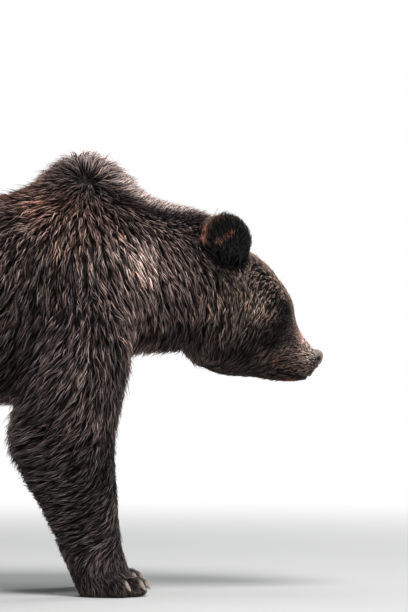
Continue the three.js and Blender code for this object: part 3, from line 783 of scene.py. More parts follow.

# Markings and painted light and shade, shared by skin and coat

# Soft patches of colour on both sides: shares of the node's box along X and up, reach, colour and strength.
# Each covers the ones before it. Some are the coat's own colours and some are painted light: the dark patches
# low on the flank and belly, on the throat, jaw and cheek, around and under the eye and low on the legs and
# paws are painted shade from light above, the palest patches on the muzzle's bridge and over the nose are
# painted highlights, and the red-brown line under the throat is painted rim light.
markingsAndPaintedLight = [
    ("trunk", [
        (0.87, 0.95, 0.06, (164, 146, 141), 0.8), (0.83, 0.88, 0.045, (112, 95, 91), 0.85),
        (0.91, 0.93, 0.038, (178, 158, 153), 0.8), (0.93, 0.88, 0.032, (160, 142, 137), 0.7),
        (0.79, 0.85, 0.04, (152, 121, 114), 0.8), (0.64, 0.86, 0.09, (132, 94, 82), 0.85),
        (0.52, 0.88, 0.09, (126, 92, 82), 0.7), (0.74, 0.8, 0.045, (112, 78, 68), 0.95),
        (0.79, 0.76, 0.034, (204, 152, 136), 0.9), (0.81, 0.73, 0.032, (190, 148, 134), 0.9),
        (0.85, 0.77, 0.032, (140, 98, 86), 0.85), (0.885, 0.76, 0.026, (106, 82, 75), 0.8),
        (0.76, 0.65, 0.055, (162, 138, 130), 0.8), (0.84, 0.62, 0.055, (150, 129, 121), 0.8),
        (0.91, 0.66, 0.045, (168, 138, 128), 0.8), (0.75, 0.47, 0.06, (106, 95, 92), 0.85),
        (0.82, 0.47, 0.055, (106, 94, 91), 0.85), (0.89, 0.47, 0.05, (152, 134, 130), 0.8),
        (0.75, 0.22, 0.08, (64, 61, 61), 0.95), (0.66, 0.3, 0.11, (84, 76, 74), 0.85),
        (0.5, 0, 0.2, (60, 54, 52), 0.85),
    ]),
    ("neck", [
        (0.16, 0.6, 0.042, (232, 203, 193), 0.9), (0.05, 0.5, 0.04, (196, 170, 160), 0.8),
        (0.4, 0.68, 0.035, (116, 101, 97), 0.85), (0.42, 0.44, 0.045, (150, 131, 127), 0.8),
        (0.6, 0.32, 0.04, (126, 109, 104), 0.8), (0.72, 0.72, 0.036, (62, 53, 51), 0.95),
        (0.19, 0.29, 0.045, (144, 125, 120), 0.8), (0.3, 0.1, 0.04, (54, 48, 46), 0.95),
        (0.62, 0.12, 0.04, (66, 57, 54), 0.95), (0.5, 0.01, 0.018, (124, 76, 56), 0.7),
    ]),
    ("upper_arm", [
        (0.44, 0.61, 0.05, (118, 104, 102), 0.8), (0.92, 0.64, 0.035, (172, 150, 144), 0.85),
        (0.41, 0.4, 0.045, (122, 109, 106), 0.85), (0.69, 0.37, 0.04, (156, 138, 133), 0.85),
        (0.1, 0.27, 0.045, (92, 83, 80), 0.8), (0.27, 0.15, 0.045, (72, 68, 68), 0.9),
        (0.62, 0.13, 0.036, (136, 121, 118), 0.85), (0.84, 0.27, 0.028, (96, 87, 86), 0.8),
    ]),
    ("forearm", [
        (0.18, 0.91, 0.045, (98, 88, 86), 0.8), (0.78, 0.74, 0.04, (56, 54, 54), 0.85),
        (0.9, 0.26, 0.045, (126, 112, 109), 0.85), (0.4, 0.3, 0.045, (82, 76, 75), 0.8),
    ]),
    ("forepaw", [
        (0.48, 0.86, 0.028, (150, 133, 130), 0.9), (0.76, 0.8, 0.024, (122, 109, 107), 0.9),
        (0.22, 0.25, 0.032, (54, 49, 47), 0.95), (0.58, 0.22, 0.03, (56, 51, 50), 0.95),
    ]),
    ("head", [
        (0.58, 0.88, 0.028, (148, 119, 110), 0.85), (0.45, 0.7, 0.032, (150, 131, 121), 0.8),
        (0.62, 0.66, 0.024, (150, 133, 126), 0.85), (0.57, 0.51, 0.027, (194, 169, 155), 0.92),
        (0.41, 0.51, 0.032, (140, 122, 113), 0.8), (0.28, 0.43, 0.036, (100, 89, 84), 0.85),
        (0.7, 0.74, 0.018, (204, 180, 168), 0.9), (0.69, 0.55, 0.022, (42, 40, 40), 0.97),
        (0.71, 0.38, 0.026, (40, 38, 37), 0.98), (0.63, 0.27, 0.028, (62, 57, 55), 0.95),
        (0.46, 0.24, 0.032, (58, 54, 51), 0.93), (0.31, 0.2, 0.036, (70, 60, 57), 0.92),
        (0.86, 0.31, 0.019, (216, 176, 163), 0.92), (0.95, 0.21, 0.016, (252, 234, 224), 0.97),
        (0.83, 0.18, 0.015, (142, 114, 104), 0.9), (0.74, 0.14, 0.018, (88, 75, 71), 0.9),
        (0.88, 0.1, 0.013, (132, 108, 101), 0.9), (0.65, 0.08, 0.022, (82, 66, 58), 0.9),
        (0.695, 0.12, 0.009, (136, 84, 64), 0.75),
    ]),
    ("nose", [(0, 1, 0.016, (240, 222, 212), 0.9)]),
    ("jaw", [
        (0.5, 0.55, 0.028, (66, 60, 58), 0.9), (0.85, 0.31, 0.018, (86, 72, 68), 0.9),
        (0.8, 0.02, 0.01, (160, 96, 70), 0.7), (0.84, 0.18, 0.008, (150, 88, 68), 0.75),
    ]),
    ("head", [(0.87, 0.27, 0.014, (246, 214, 202), 0.85), (0.91, 0.17, 0.012, (222, 194, 183), 0.8)]),
    ("trunk", [
        (0.86, 0.83, 0.026, (76, 66, 63), 0.8), (0.925, 0.58, 0.03, (186, 164, 156), 0.75),
        (0.79, 0.41, 0.03, (82, 74, 72), 0.7), (0.74, 0.68, 0.03, (108, 90, 84), 0.6),
        (0.74, 0.14, 0.06, (46, 43, 43), 0.9),
    ]),
    ("neck", [
        (0.05, 0.62, 0.032, (248, 222, 212), 0.85), (0.06, 0.79, 0.026, (112, 97, 92), 0.8),
        (0.64, 0.72, 0.03, (60, 52, 50), 0.9), (0.64, 0.54, 0.026, (96, 84, 81), 0.75),
        (0.42, 0.34, 0.032, (100, 88, 84), 0.7), (0.64, 0.2, 0.03, (74, 66, 63), 0.8),
        (0.52, 0.19, 0.03, (48, 43, 41), 0.9), (0.4, 0.15, 0.034, (42, 37, 36), 0.93),
        (0.18, 0.165, 0.036, (44, 39, 37), 0.93),
    ]),
    ("head", [
        (0.26, 0.82, 0.024, (58, 52, 50), 0.9), (0.36, 0.72, 0.024, (108, 95, 90), 0.75),
        (0.56, 0.72, 0.022, (116, 102, 96), 0.75), (0.46, 0.38, 0.024, (78, 69, 65), 0.85),
        (0.565, 0.37, 0.024, (72, 64, 60), 0.85), (0.565, 0.28, 0.026, (34, 32, 31), 0.95),
        (0.67, 0.36, 0.026, (28, 26, 26), 0.96), (0.67, 0.27, 0.024, (38, 35, 34), 0.9),
        (0.77, 0.29, 0.018, (64, 56, 53), 0.85), (0.75, 0.5, 0.025, (24, 22, 22), 0.98),
        (0.36, 0.19, 0.034, (38, 34, 33), 0.9), (0.46, 0.17, 0.026, (36, 33, 32), 0.9),
        (0.59, 0.97, 0.018, (104, 68, 60), 0.85), (0.69, 0.84, 0.017, (104, 68, 60), 0.85),
        (0.78, 0.67, 0.015, (88, 58, 52), 0.85), (0.83, 0.4, 0.01, (160, 98, 86), 0.7),
    ]),
    ("upper_arm", [
        (0.89, 0.5, 0.024, (150, 132, 127), 0.75), (0.8, 0.36, 0.03, (86, 78, 76), 0.85),
        (0.91, 0.32, 0.03, (72, 66, 64), 0.85), (0.76, 0.23, 0.034, (82, 75, 73), 0.85),
        (0.8, 0.1, 0.026, (98, 88, 86), 0.7), (0.25, 0.16, 0.034, (60, 56, 56), 0.8),
    ]),
    ("forepaw", [(0.2, 0.48, 0.028, (60, 54, 52), 0.85)]),
    ("trunk", [
        (0.74, 0.83, 0.034, (88, 64, 58), 0.8), (0.78, 0.83, 0.022, (100, 74, 67), 0.7),
        (0.82, 0.82, 0.024, (82, 69, 65), 0.75), (0.845, 0.89, 0.024, (96, 82, 78), 0.75),
        (0.82, 0.71, 0.036, (182, 148, 136), 0.7), (0.89, 0.55, 0.03, (172, 152, 145), 0.7),
    ]),
    ("neck", [(0.16, 0.54, 0.026, (252, 225, 215), 0.85), (0.44, 0.55, 0.032, (158, 139, 133), 0.6)]),
    ("head", [(0.47, 0.91, 0.023, (184, 161, 150), 0.85), (0.26, 0.76, 0.022, (70, 62, 59), 0.8)]),
    ("upper_arm", [(0.67, 0.45, 0.028, (162, 144, 139), 0.8), (0.66, 0.12, 0.024, (150, 133, 130), 0.7)]),
    ("head", [
        (0.644, 0.396, 0.016, (44, 40, 39), 0.65), (0.717, 0.663, 0.015, (138, 120, 111), 0.6),
        (0.863, 0.167, 0.012, (176, 146, 134), 0.5),
    ]),
    ("trunk", [
        (0.812, 0.66, 0.024, (190, 160, 149), 0.6), (0.778, 0.6, 0.03, (156, 136, 128), 0.5),
        (0.914, 0.84, 0.018, (160, 141, 135), 0.5), (0.797, 0.8, 0.02, (92, 70, 63), 0.6),
        (0.812, 0.32, 0.03, (66, 60, 58), 0.55), (0.737, 0.28, 0.03, (52, 48, 47), 0.6),
    ]),
    ("upper_arm", [
        (0.823, 0.535, 0.024, (152, 134, 128), 0.6), (0.705, 0.4, 0.026, (156, 139, 134), 0.55),
        (0.862, 0.29, 0.022, (62, 56, 54), 0.7),
    ]),
    ("forearm", [(0.676, 0.86, 0.026, (124, 112, 108), 0.6), (0.418, 1.13, 0.028, (52, 48, 47), 0.6)]),
    ("forepaw", [(0.21, 0.39, 0.022, (48, 44, 42), 0.6)]),
    ("neck", [
        (0.25, 0.56, 0.026, (146, 128, 121), 0.6), (0.334, 0.17, 0.022, (38, 34, 33), 0.7),
        (0.234, 0.83, 0.02, (48, 42, 40), 0.65), (0.667, 0.65, 0.024, (38, 34, 33), 0.7),
        (0.583, 0.06, 0.024, (34, 31, 30), 0.7),
    ]),
    ("head", [(0.615, 0.74, 0.018, (188, 165, 153), 0.5), (0.396, 0.36, 0.018, (84, 74, 70), 0.6)]),
]
# Ear colours: the hollow's dark is painted shade, and the red-brown rim is partly painted rim light
earShade = {"inner": 0.72, "outer": 0.96, "low": -0.35, "high": 0.05, "rim": tint(128, 88, 75),
            "hollow": tint(26, 25, 25), "strands": tint(150, 106, 86), "strength": 0.75}
earStrands = [(0.28, 0.46, 0.006), (0.37, 0.52, 0.005), (0.46, 0.57, 0.005), (0.55, 0.64, 0.006)]
crestPlan = {"colour": tint(200, 182, 175), "strength": 0.95, "rise": 0.006, "start": ("trunk", 0.915),
             "grow": 0.05, "end": ("neck", 0.72), "fade": 0.06, "past": -0.001}
partingShade = {"below": 0.013, "reach": 0.013, "strength": 0.85}
whorlShade = {"reach": 0.015, "strength": 0.8}


def cover(colours, share, colour):
    # Lays a colour over others with this share at each place
    return colours * (1 - share)[:, None] + colour * share[:, None]


def colourMarkingsAndLight(spots):
    # Markings and painted light from the table, then painted shade under the parting and in the whorl's
    # middle, then the pale crest
    colours = readAttribute(skin.data, "markingsAndPaintedLight")
    for node, along, up, reach, colour, strength in ungroup(markingsAndPaintedLight):
        for label in sideOf:
            place = flankSpot(node, along, up, label)
            colours = cover(colours, near(spots, place, reach) * strength, tint(*colour))
    for label, side in sideOf.items():
        height, inside = alongLine(spots, label)
        shade = inside * bell(height + partingShade["below"], partingShade["reach"])
        shade *= partingShade["strength"]
        middle = bell(fromWhorl(spots, label)[1], whorlShade["reach"]) * whorlShade["strength"]
        colours = colours * ((1 - shade) * (1 - middle))[:, None]
        start, end = (spot(node, (along, 0, 0))[0] for node, along in (crestPlan["start"], crestPlan["end"]))
        crest = ramp(spots[:, 0], start, start + crestPlan["grow"])
        crest *= ramp(-spots[:, 0], -end, -end + crestPlan["fade"])
        crest *= ramp(height, 0, crestPlan["rise"]) * (spots[:, 1] * side > crestPlan["past"])
        colours = cover(colours, crest * crestPlan["strength"], crestPlan["colour"])
    return colours


def colourEars(spots, colours):
    # Painted shade in the hollow, with a few pale strands, and a red-brown rim over the top that is partly
    # the ear's own colour and partly painted rim light
    for label in sideOf:
        ear = isEar(spots, label)
        low, high = (np.array(corner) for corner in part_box(f"ear_{label}"))
        across = ((spots - (low + high) / 2) / ((high - low) / 2))[ear]
        rim = ramp(np.hypot(across[:, 0], across[:, 2]), earShade["inner"], earShade["outer"])
        rim *= ramp(across[:, 2], earShade["low"], earShade["high"])
        colours[ear] = cover(earShade["hollow"], rim, earShade["rim"])
        for along, up, reach in earStrands:
            strand = near(spots, flankSpot("ear", along, up, label), reach) * earShade["strength"]
            colours = cover(colours, strand, earShade["strands"])
    return colours


skinColours = colourEars(skinSpots, colourMarkingsAndLight(skinSpots))
addAttribute(skin.data, "markingsAndPaintedLight", skinColours)
leather = np.maximum(np.maximum(sole, eyeRims), lips)
addAttribute(skin.data, "leather", leather)

unwrapPlan = {"angle_limit": math.radians(66), "island_margin": 0.002}
editMesh(skin, lambda: bpy.ops.uv.smart_project(**unwrapPlan))
print("skin unwrapped")

# The nose


def fromPath(spots, path):
    # How far each spot is from a bent line
    return np.min([lengthOf(fromLine(spots, *ends)) for ends in zip(path[:-1], path[1:])], axis=0)


def modelNose():
    deselectAll()
    bpy.ops.mesh.primitive_ico_sphere_add(subdivisions=nosePlan["divisions"], radius=1)
    nose = bpy.context.object
    nose.name = "nosePad"
    ways = spotsOf(nose.data)
    ways = np.sign(ways) * np.abs(ways) ** nosePlan["square"]
    spots = ways * noseSize
    spots[:, 1] *= 1 - nosePlan["narrow"] * ramp(-ways[:, 2], 0.0, 1.0)
    spots[:, 0] += nosePlan["lean"] * spots[:, 2] - nosePlan["flat"] * ways[:, 1] ** 2
    spots = noseMiddle + spots @ noseTurn
    inward = np.zeros(len(spots))
    for side in sideOf.values():
        path = [spots[lengthOf(spots - nosePoint((x, y * side, z))).argmin()] for x, y, z in nosePlan["slit"]]
        hole = lengthOf((spots - path[0]) * nosePlan["holeShape"])
        inward += nosePlan["holeDeep"] * bell(hole, nosePlan["holeWide"])
        inward += nosePlan["slitDeep"] * bell(fromPath(spots, path), nosePlan["slitWide"])
    groove = ramp(-spots[:, 2], *(-nosePoint((0, 0, up))[2] for up in nosePlan["groove"])) * (ways[:, 0] > 0)
    inward += nosePlan["grooveDeep"] * bell(spots[:, 1], nosePlan["grooveWide"]) * groove
    push = unit(spots - nosePoint(nosePlan["pushFrom"]))
    moveTo(nose.data, spots - push * inward[:, None])
    # Painted shade: the nostrils, slits and groove darken with their depth
    addAttribute(nose.data, "hollow", np.clip(inward / nosePlan["shaded"], 0, 1))
    shadeSmooth(nose.data)
    return nose


nose = modelNose()
print("nose modelled", len(nose.data.polygons))

# The tufts

tuftPlan = {
    # Along a tuft, the girth of its rings and how flat it is
    "steps": (0, 0.5, 1), "girth": (0.8, 1.0), "thick": 0.9, "widths": (0.7, 1.25), "patch": 0.003,
    "section": ((1, -0.4), (0, 0.6), (-1, -0.4)),
    # How long it is, and how it rises to the coat's depth, sways and bends
    "lengths": (0.75, 1.15), "low": 0.42, "rise": 0.72, "steepest": 0.9, "curve": 1.7, "sway": 0.17,
    "wave": 0.05, "rootDip": 0.0015, "floor": 0.0012, "tipFloor": 0.001, "bare": 0.35,
    # The few that stray out of the coat
    "strays": 0.05, "strayLong": 1.2, "strayHigh": 1.35,
    # Locks: their size in gaps, how much longer than wide, and how far and how tightly they gather
    "lockGap": 3.8, "lockLong": 3.0, "lockNear": 9, "lockPull": 0.85, "pulls": (0.5, 1.1), "lockReach": 0.36,
    "lockDip": 0.6, "lockWave": 0.07, "lockTurn": 2.4, "lockTone": 0.6180339,
    # How light it is: upper tufts are lighter, the more so in strong locks; the darker lower tufts are
    # painted shade
    "light": 0.72, "even": 0.4, "lightSpread": 0.08,
}


def plantRoots():
    # Roots spread over the skin: how many fall on a triangle follows the gap between tufts there
    mesh = skin.data
    mesh.calc_loop_triangles()
    corners = fetch(mesh.loop_triangles, "vertices", 3, np.int32)
    loops = fetch(mesh.loop_triangles, "loops", 3, np.int32)
    uvs = fetch(mesh.uv_layers.active.data, "uv", 2)
    a, b, c = (skinSpots[corners[:, i]] for i in range(3))
    area = lengthOf(np.cross(b - a, c - a)) / 2
    gap = coat["gap"][corners].mean(axis=1)
    bare = leather[corners].max(axis=1) > tuftPlan["bare"]
    bare |= lengthOf(noseShare((a + b + c) / 3)) < nosePlan["bare"]
    wanted = np.where(bare, 0, area / gap ** 2)
    count = np.floor(wanted + chance.random(len(wanted))).astype(int)
    face = np.repeat(np.arange(len(count)), count)
    share = chance.random((len(face), 2))
    over = share.sum(axis=1) > 1
    share[over] = 1 - share[over]
    weight = np.column_stack([1 - share.sum(axis=1), share])
    ofCorners = skinSpots[corners[face]], uvs[loops[face]]
    place, uv = (np.einsum("ij,ijk->ik", weight, values) for values in ofCorners)
    return place, corners[face, weight.argmax(axis=1)], uv


rootSpots, rootVertex, rootUv = plantRoots()
print("roots planted", len(rootSpots))


def treeOf(spots, numbers):
    tree = KDTree(len(numbers))
    for number in numbers:
        tree.insert(spots[number], int(number))
    tree.balance()
    return tree


skinTree = treeOf(skinSpots, range(len(skinSpots)))


def nearestVertex(spots):
    return np.fromiter((skinTree.find(place)[1] for place in spots), np.int64, len(spots))


cellPrimes = (73856093, 19349663, 83492791, 131071)  # give every cell of the grid a number of its own


def gatherLocks():
    # Each tuft's lock, named by the tuft at its middle, and how far out in the lock it stands.
    # One tuft in each cell of a grid starts a lock. Locks are longer along the hair than across it.
    size = coat["gap"][rootVertex] * tuftPlan["lockGap"]
    level = np.round(np.log2(size / size.min()) * 2) / 2
    cell = np.floor(rootSpots / (size.min() * 2 ** level)[:, None])
    cell = (np.column_stack([cell, level]) * cellPrimes).astype(np.int64)
    _, first = np.unique(np.bitwise_xor.reduce(cell, axis=1), return_index=True)
    tree = treeOf(rootSpots, first)
    around = np.array([[hit[1] for hit in tree.find_n(place, tuftPlan["lockNear"])] for place in rootSpots])
    apart = rootSpots[around] - rootSpots[:, None]
    along = np.einsum("nki,ni->nk", apart, hairWay[rootVertex])
    wide = np.sqrt(np.maximum(np.sum(apart ** 2, axis=2) - along ** 2, 0))
    pick = np.arange(len(around)), np.hypot(wide, along / tuftPlan["lockLong"]).argmin(axis=1)
    return around[pick], np.clip(wide[pick] / (tuftPlan["lockReach"] * size), 0, 1)


hairLock, hairEdge = gatherLocks()


def combHair():
    # The middle line of every tuft: it follows the lie over the skin while it rises to the coat's depth.
    # Upper tufts stand higher and are lighter than those they cover, which get painted shade. Locks are lower
    # at their edges.
    count = len(rootSpots)
    steps = tuftPlan["steps"]
    lock = coat["lock"][rootVertex]
    layer = chance.random(count) * (1 - tuftPlan["lockDip"] * hairEdge * lock)
    stray = chance.random(count) > 1 - tuftPlan["strays"]
    length = coat["length"][rootVertex] * chance.uniform(*tuftPlan["lengths"], count)
    length *= np.where(stray, tuftPlan["strayLong"], 1)
    rise = tuftPlan["low"] + tuftPlan["rise"] * layer
    depth = coat["depth"][rootVertex] * coat["lift"][rootVertex] * rise
    depth = np.minimum(depth * np.where(stray, tuftPlan["strayHigh"], 1), tuftPlan["steepest"] * length)
    along = np.sqrt(length ** 2 - depth ** 2)
    turn = chance.normal(0, tuftPlan["sway"], count)
    wave = tuftPlan["lockWave"] * np.sin(hairLock * tuftPlan["lockTurn"])
    wave = (chance.normal(0, tuftPlan["wave"], count) + wave) * length
    here, vertex = rootSpots, rootVertex
    lines, under = [here - skinFacing[vertex] * tuftPlan["rootDip"]], [vertex]
    for last, step in zip(steps[:-1], steps[1:]):
        way, facing = hairWay[vertex], skinFacing[vertex]
        sideways = np.cross(facing, way)
        here = here + unit(way + sideways * turn[:, None]) * (along * (step - last))[:, None]
        vertex = nearestVertex(here)
        facing = skinFacing[vertex]
        here = here - facing * np.sum((here - skinSpots[vertex]) * facing, axis=1)[:, None]
        rise = depth * (1 - (1 - step) ** tuftPlan["curve"])
        lines.append(here + facing * rise[:, None] + sideways * (wave * math.sin(math.pi * step))[:, None])
        under.append(vertex)
    lines = np.stack(lines, axis=1)
    lines[:, :, 2] = np.maximum(lines[:, :, 2], tuftPlan["floor"] + tuftPlan["tipFloor"])
    light, even = tuftPlan["light"], tuftPlan["even"]
    light = light + (layer - light) * (even + (1 - even) * lock)
    light = light + chance.normal(0, tuftPlan["lightSpread"], count)
    return lines, np.stack(under, axis=1), np.clip(light, 0, 1)


hairLines, hairUnder, hairPaintedShade = combHair()
print("hair combed")


def pullLocks(lines):
    # Tufts lean sideways towards the middle tuft of their lock
    sideways = np.cross(skinFacing[rootVertex], hairWay[rootVertex])
    pull = tuftPlan["lockPull"] * chance.uniform(*tuftPlan["pulls"], len(lines)) * coat["lock"][rootVertex]
    pull = pull[:, None] * np.array(tuftPlan["steps"])
    lean = np.einsum("nsi,ni->ns", lines[hairLock] - lines, sideways) * pull
    return lines + lean[:, :, None] * sideways[:, None]


hairLines = pullLocks(hairLines)
print("locks gathered")


def pieceFromArrays(name, spots, faces):
    mesh = bpy.data.meshes.new(name)
    mesh.vertices.add(len(spots))
    store(mesh.vertices, "co", spots)
    mesh.loops.add(faces.size)
    store(mesh.loops, "vertex_index", faces, np.int32)
    mesh.polygons.add(len(faces))
    store(mesh.polygons, "loop_start", np.arange(0, faces.size, 3), np.int32)
    shadeSmooth(mesh)
    mesh.update(calc_edges=True)
    piece = bpy.data.objects.new(name, mesh)
    scene.collection.objects.link(piece)
    return piece


def spikeFaces(rings):
    # The faces of a closed three-sided spike with this many rings below its tip
    last, tip = 3 * (rings - 1), 3 * rings
    ends = [(last + i, tip, last + (i + 1) % 3) for i in range(3)]
    return np.concatenate([[(0, 1, 2)], tubeFaces(rings, 3), ends])


def tuftMesh(name, chosen):
    lines, vertex = hairLines[chosen], rootVertex[chosen]
    count, rings = len(chosen), len(tuftPlan["girth"])
    corners = 3 * rings + 1
    width = coat["width"][vertex] * chance.uniform(*tuftPlan["widths"], count)
    spots = np.empty((count, corners, 3))
    for ring, girth in enumerate(tuftPlan["girth"]):
        heading = unit(lines[:, ring + 1] - lines[:, max(ring - 1, 0)])
        across = unit(np.cross(heading, skinFacing[vertex]))
        up = np.cross(across, heading)
        half = (width * girth / 2)[:, None]
        high = half * tuftPlan["thick"]
        for corner, (out, above) in enumerate(tuftPlan["section"]):
            spots[:, 3 * ring + corner] = lines[:, ring] + across * half * out + up * high * above
    spots[:, -1] = lines[:, -1]
    spots[:, :, 2] = np.maximum(spots[:, :, 2], tuftPlan["floor"])
    every = (spikeFaces(rings)[None] + (np.arange(count) * corners)[:, None, None]).reshape(-1, 3)
    piece = pieceFromArrays(name, spots.reshape(-1, 3), every)
    along = np.append(np.repeat(tuftPlan["steps"][:-1], 3), 1)
    across = np.append(np.tile([0.5, 0, -0.5], rings), 0)
    lock = 0.5 + ((hairLock[chosen] * tuftPlan["lockTone"]) % 1 - 0.5) * coat["lock"][vertex]
    addAttribute(piece.data, "along", np.tile(along, count))
    addAttribute(piece.data, "across", np.tile(across, count))
    # layer holds each tuft's painted shade: darker where it lies low under other tufts
    for key, values in (("layer", hairPaintedShade[chosen]), ("tone", chance.random(count)), ("lock", lock)):
        addAttribute(piece.data, key, np.repeat(values, corners))
    colours = np.repeat(skinColours[hairUnder[chosen]], [3] * rings + [1], axis=1)
    addAttribute(piece.data, "markingsAndPaintedLight", colours.reshape(-1, 3))
    patch = np.stack([np.tile(across, count), np.tile(along - 0.5, count)], axis=1) * tuftPlan["patch"]
    uv = np.repeat(rootUv[chosen], corners, axis=0) + patch
    store(piece.data.uv_layers.new(name="OFBake").data, "uv", uv[every.ravel()])
    return piece


coatJoins = {"jaw": "head", "tail": "rump", "forepaw": "forearm", "shank": "hindfoot", "hindpaw": "hindfoot"}
# Where each part of the trunk's coat starts, as a share of the trunk's length
trunkParts = {"rump": -1, "flank": 0.3, "shoulder": 0.68}


def coatParts():
    # Sorts the tufts into pieces by region and side
    low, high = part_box("trunk")
    share = (rootSpots[:, 0] - low.x) / (high.x - low.x)
    where = np.array([coatJoins.get(name, name) for name in region[rootVertex]])
    isTrunk = where == "trunk"
    for name, start in trunkParts.items():
        where[isTrunk & (share > start)] = name
    side = np.where(rootSpots[:, 1] < 0, "right", "left")
    return {(name, label): np.flatnonzero((where == name) & (side == label))
            for name, label in sorted(set(zip(where, side)))}


coatPieces = []
for (name, label), chosen in coatParts().items():
    coatPieces.append(tuftMesh(f"coat_{name}_{label}", chosen))
    print(coatPieces[-1].name, len(chosen), len(coatPieces[-1].data.polygons))
print("coat", sum(len(piece.data.polygons) for piece in coatPieces), "skin", len(skin.data.loop_triangles))

# Eyes and lids

eyeball = {"segments": 48, "rings": 32, "bulge": 0.045, "bulgeReach": 0.5}
lidPlan = {"around": 56, "section": 8, "wide": 1.06, "out": 1.055, "flat": 1.2, "upper": 1.15, "lower": 0.9}


def modelEye():
    # A ball looking along +Z with a slight bulge over its iris: "turn" is each place's angle from the gaze
    deselectAll()
    bpy.ops.mesh.primitive_uv_sphere_add(segments=eyeball["segments"], ring_count=eyeball["rings"], radius=1)
    eye = bpy.context.object
    ways = unit(spotsOf(eye.data))
    turn = np.arccos(np.clip(ways[:, 2], -1, 1))
    moveTo(eye.data, ways * (1 + eyeball["bulge"] * bell(turn, eyeball["bulgeReach"]))[:, None])
    addAttribute(eye.data, "turn", turn)
    shadeSmooth(eye.data)
    return eye


def seatEyes(eye):
    # The eye and a copy of it with its own mesh, each turned to its gaze in its socket
    local = spotsOf(eye.data)
    copy = bpy.data.objects.new("eye", eye.data.copy())
    scene.collection.objects.link(copy)
    seated = dict(zip(sideOf, (eye, copy)))
    for label, ball in seated.items():
        centre, gaze, back, _, radius = eyeFrames[label]
        moveTo(ball.data, centre + local @ np.stack([back, np.cross(gaze, back), gaze]) * radius)
        ball.name = f"eyeball_{label}"
    return seated


def turnsOf(count):
    return np.linspace(0, 2 * math.pi, count, endpoint=False)


def modelLids(label):
    # A rounded leathery rim around the eye's opening
    centre, gaze, back, up, radius = eyeFrames[label]
    turns, angles = turnsOf(lidPlan["around"]), turnsOf(lidPlan["section"])
    wide = eyePlan["wide"] * lidPlan["wide"]
    along = wide * np.cos(turns)
    height = np.where(np.sin(turns) > 0, *lidEdges(along, wide))
    ways = unit(gaze * np.sqrt(radius ** 2 - along ** 2 - height ** 2)[:, None]
                + back * along[:, None] + up * height[:, None])
    middles = centre + ways * radius * lidPlan["out"]
    outward = unit(np.cross(unit(np.roll(middles, -1, axis=0) - np.roll(middles, 1, axis=0)), ways))
    rim = eyePlan["rim"] * np.where(np.sin(turns) > 0, lidPlan["upper"], lidPlan["lower"])[:, None, None]
    spots = middles[:, None] + rim * (np.cos(angles)[:, None] * ways[:, None]
                                      + lidPlan["flat"] * np.sin(angles)[:, None] * outward[:, None])
    faces = tubeFaces(lidPlan["around"], lidPlan["section"], closed=True)
    lids = pieceFromArrays(f"lids_{label}", spots.reshape(-1, 3), faces)
    editMesh(lids, lambda: bpy.ops.mesh.normals_make_consistent(inside=False))
    return lids


eyes = seatEyes(modelEye())
lids = {label: modelLids(label) for label in sideOf}
print("eyes modelled")

# The claws

clawPlan = {
    "rings": 18, "around": 14, "deep": 0.0084, "wide": 0.0066, "start": -0.05, "sink": 0.0055, "hind": 0.9,
    "taper": 2.6, "blunt": 0.7, "slim": 0.3, "root": 0.7, "flare": 0.3, "flareLong": 0.22, "least": 0.02,
    "ridge": 0.10, "ridgeSharp": 8, "under": 0.82, "side": 0.95, "sinkEase": 1.5, "upward": (0.3, 0, 1.0),
}


def modelClaw():
    # One horn along +Z from its root at 0 to its tip at 1, with a ridge along its back, which faces X
    rings, around = clawPlan["rings"], clawPlan["around"]
    shares = np.linspace(0, 1, rings)
    size = (1 - shares ** clawPlan["taper"]) ** clawPlan["blunt"] * (1 - clawPlan["slim"] * shares)
    flare = clawPlan["root"] + clawPlan["flare"] * ramp(shares, 0, clawPlan["flareLong"])
    size = size * flare + clawPlan["least"]
    high, side = np.cos(turnsOf(around)), np.sin(turnsOf(around))
    ridge = 1 + clawPlan["ridge"] * high ** clawPlan["ridgeSharp"] * (high > 0)
    under = np.where(high < 0, clawPlan["under"], 1.0)
    section = np.stack([high * ridge * under, side * clawPlan["side"]], axis=1)
    heights = np.broadcast_to(shares[:, None, None], (rings, around, 1))
    spots = np.concatenate([size[:, None, None] * section, heights], axis=2).reshape(-1, 3)
    bottom, top, last = rings * around, rings * around + 1, (rings - 1) * around
    j = np.arange(around)
    beside = (j + 1) % around
    caps = [np.stack(corners, axis=1) for corners in (
        [np.full(around, bottom), beside, j], [np.full(around, top), last + j, last + beside])]
    faces = np.concatenate([tubeFaces(rings, around)[:, ::-1], *caps])
    return np.concatenate([spots, [[0, 0, 0], [0, 0, 1]]]), faces


def placeClaw(name, shape, scale):
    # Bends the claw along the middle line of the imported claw, from inside the toe to its tip
    root, control, tip = clawLines[name]
    t = clawPlan["start"] + (1 - clawPlan["start"]) * shape[:, 2:]
    line = root * (1 - t) ** 2 + control * 2 * t * (1 - t) + tip * t ** 2
    line = line - [0, 0, clawPlan["sink"]] * (1 - t) ** clawPlan["sinkEase"]
    heading = unit((control - root) * (1 - t) + (tip - control) * t)
    across = np.broadcast_to(unit(np.cross(tip - root, [0, 0, 1])), heading.shape)
    top = np.cross(across, heading)
    top = top * np.sign(top[:1] @ np.array(clawPlan["upward"]))[:, None]
    line = line + top * shape[:, :1] * clawPlan["deep"] * scale
    return line + across * shape[:, 1:2] * clawPlan["wide"] * scale


def modelClaws(paw, label):
    names = sorted(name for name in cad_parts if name.startswith(f"claw_{paw}_{label}"))
    shape, faces = modelClaw()
    scale = clawPlan["hind"] if paw == "hindpaw" else 1
    spots = np.concatenate([placeClaw(name, shape, scale) for name in names])
    every = np.concatenate([faces + i * len(shape) for i in range(len(names))])
    claws = pieceFromArrays(f"claws_{paw}_{label}", spots, every)
    addAttribute(claws.data, "along", np.tile(shape[:, 2], len(names)))
    editMesh(claws, lambda: bpy.ops.mesh.normals_make_consistent(inside=False))
    return claws, names


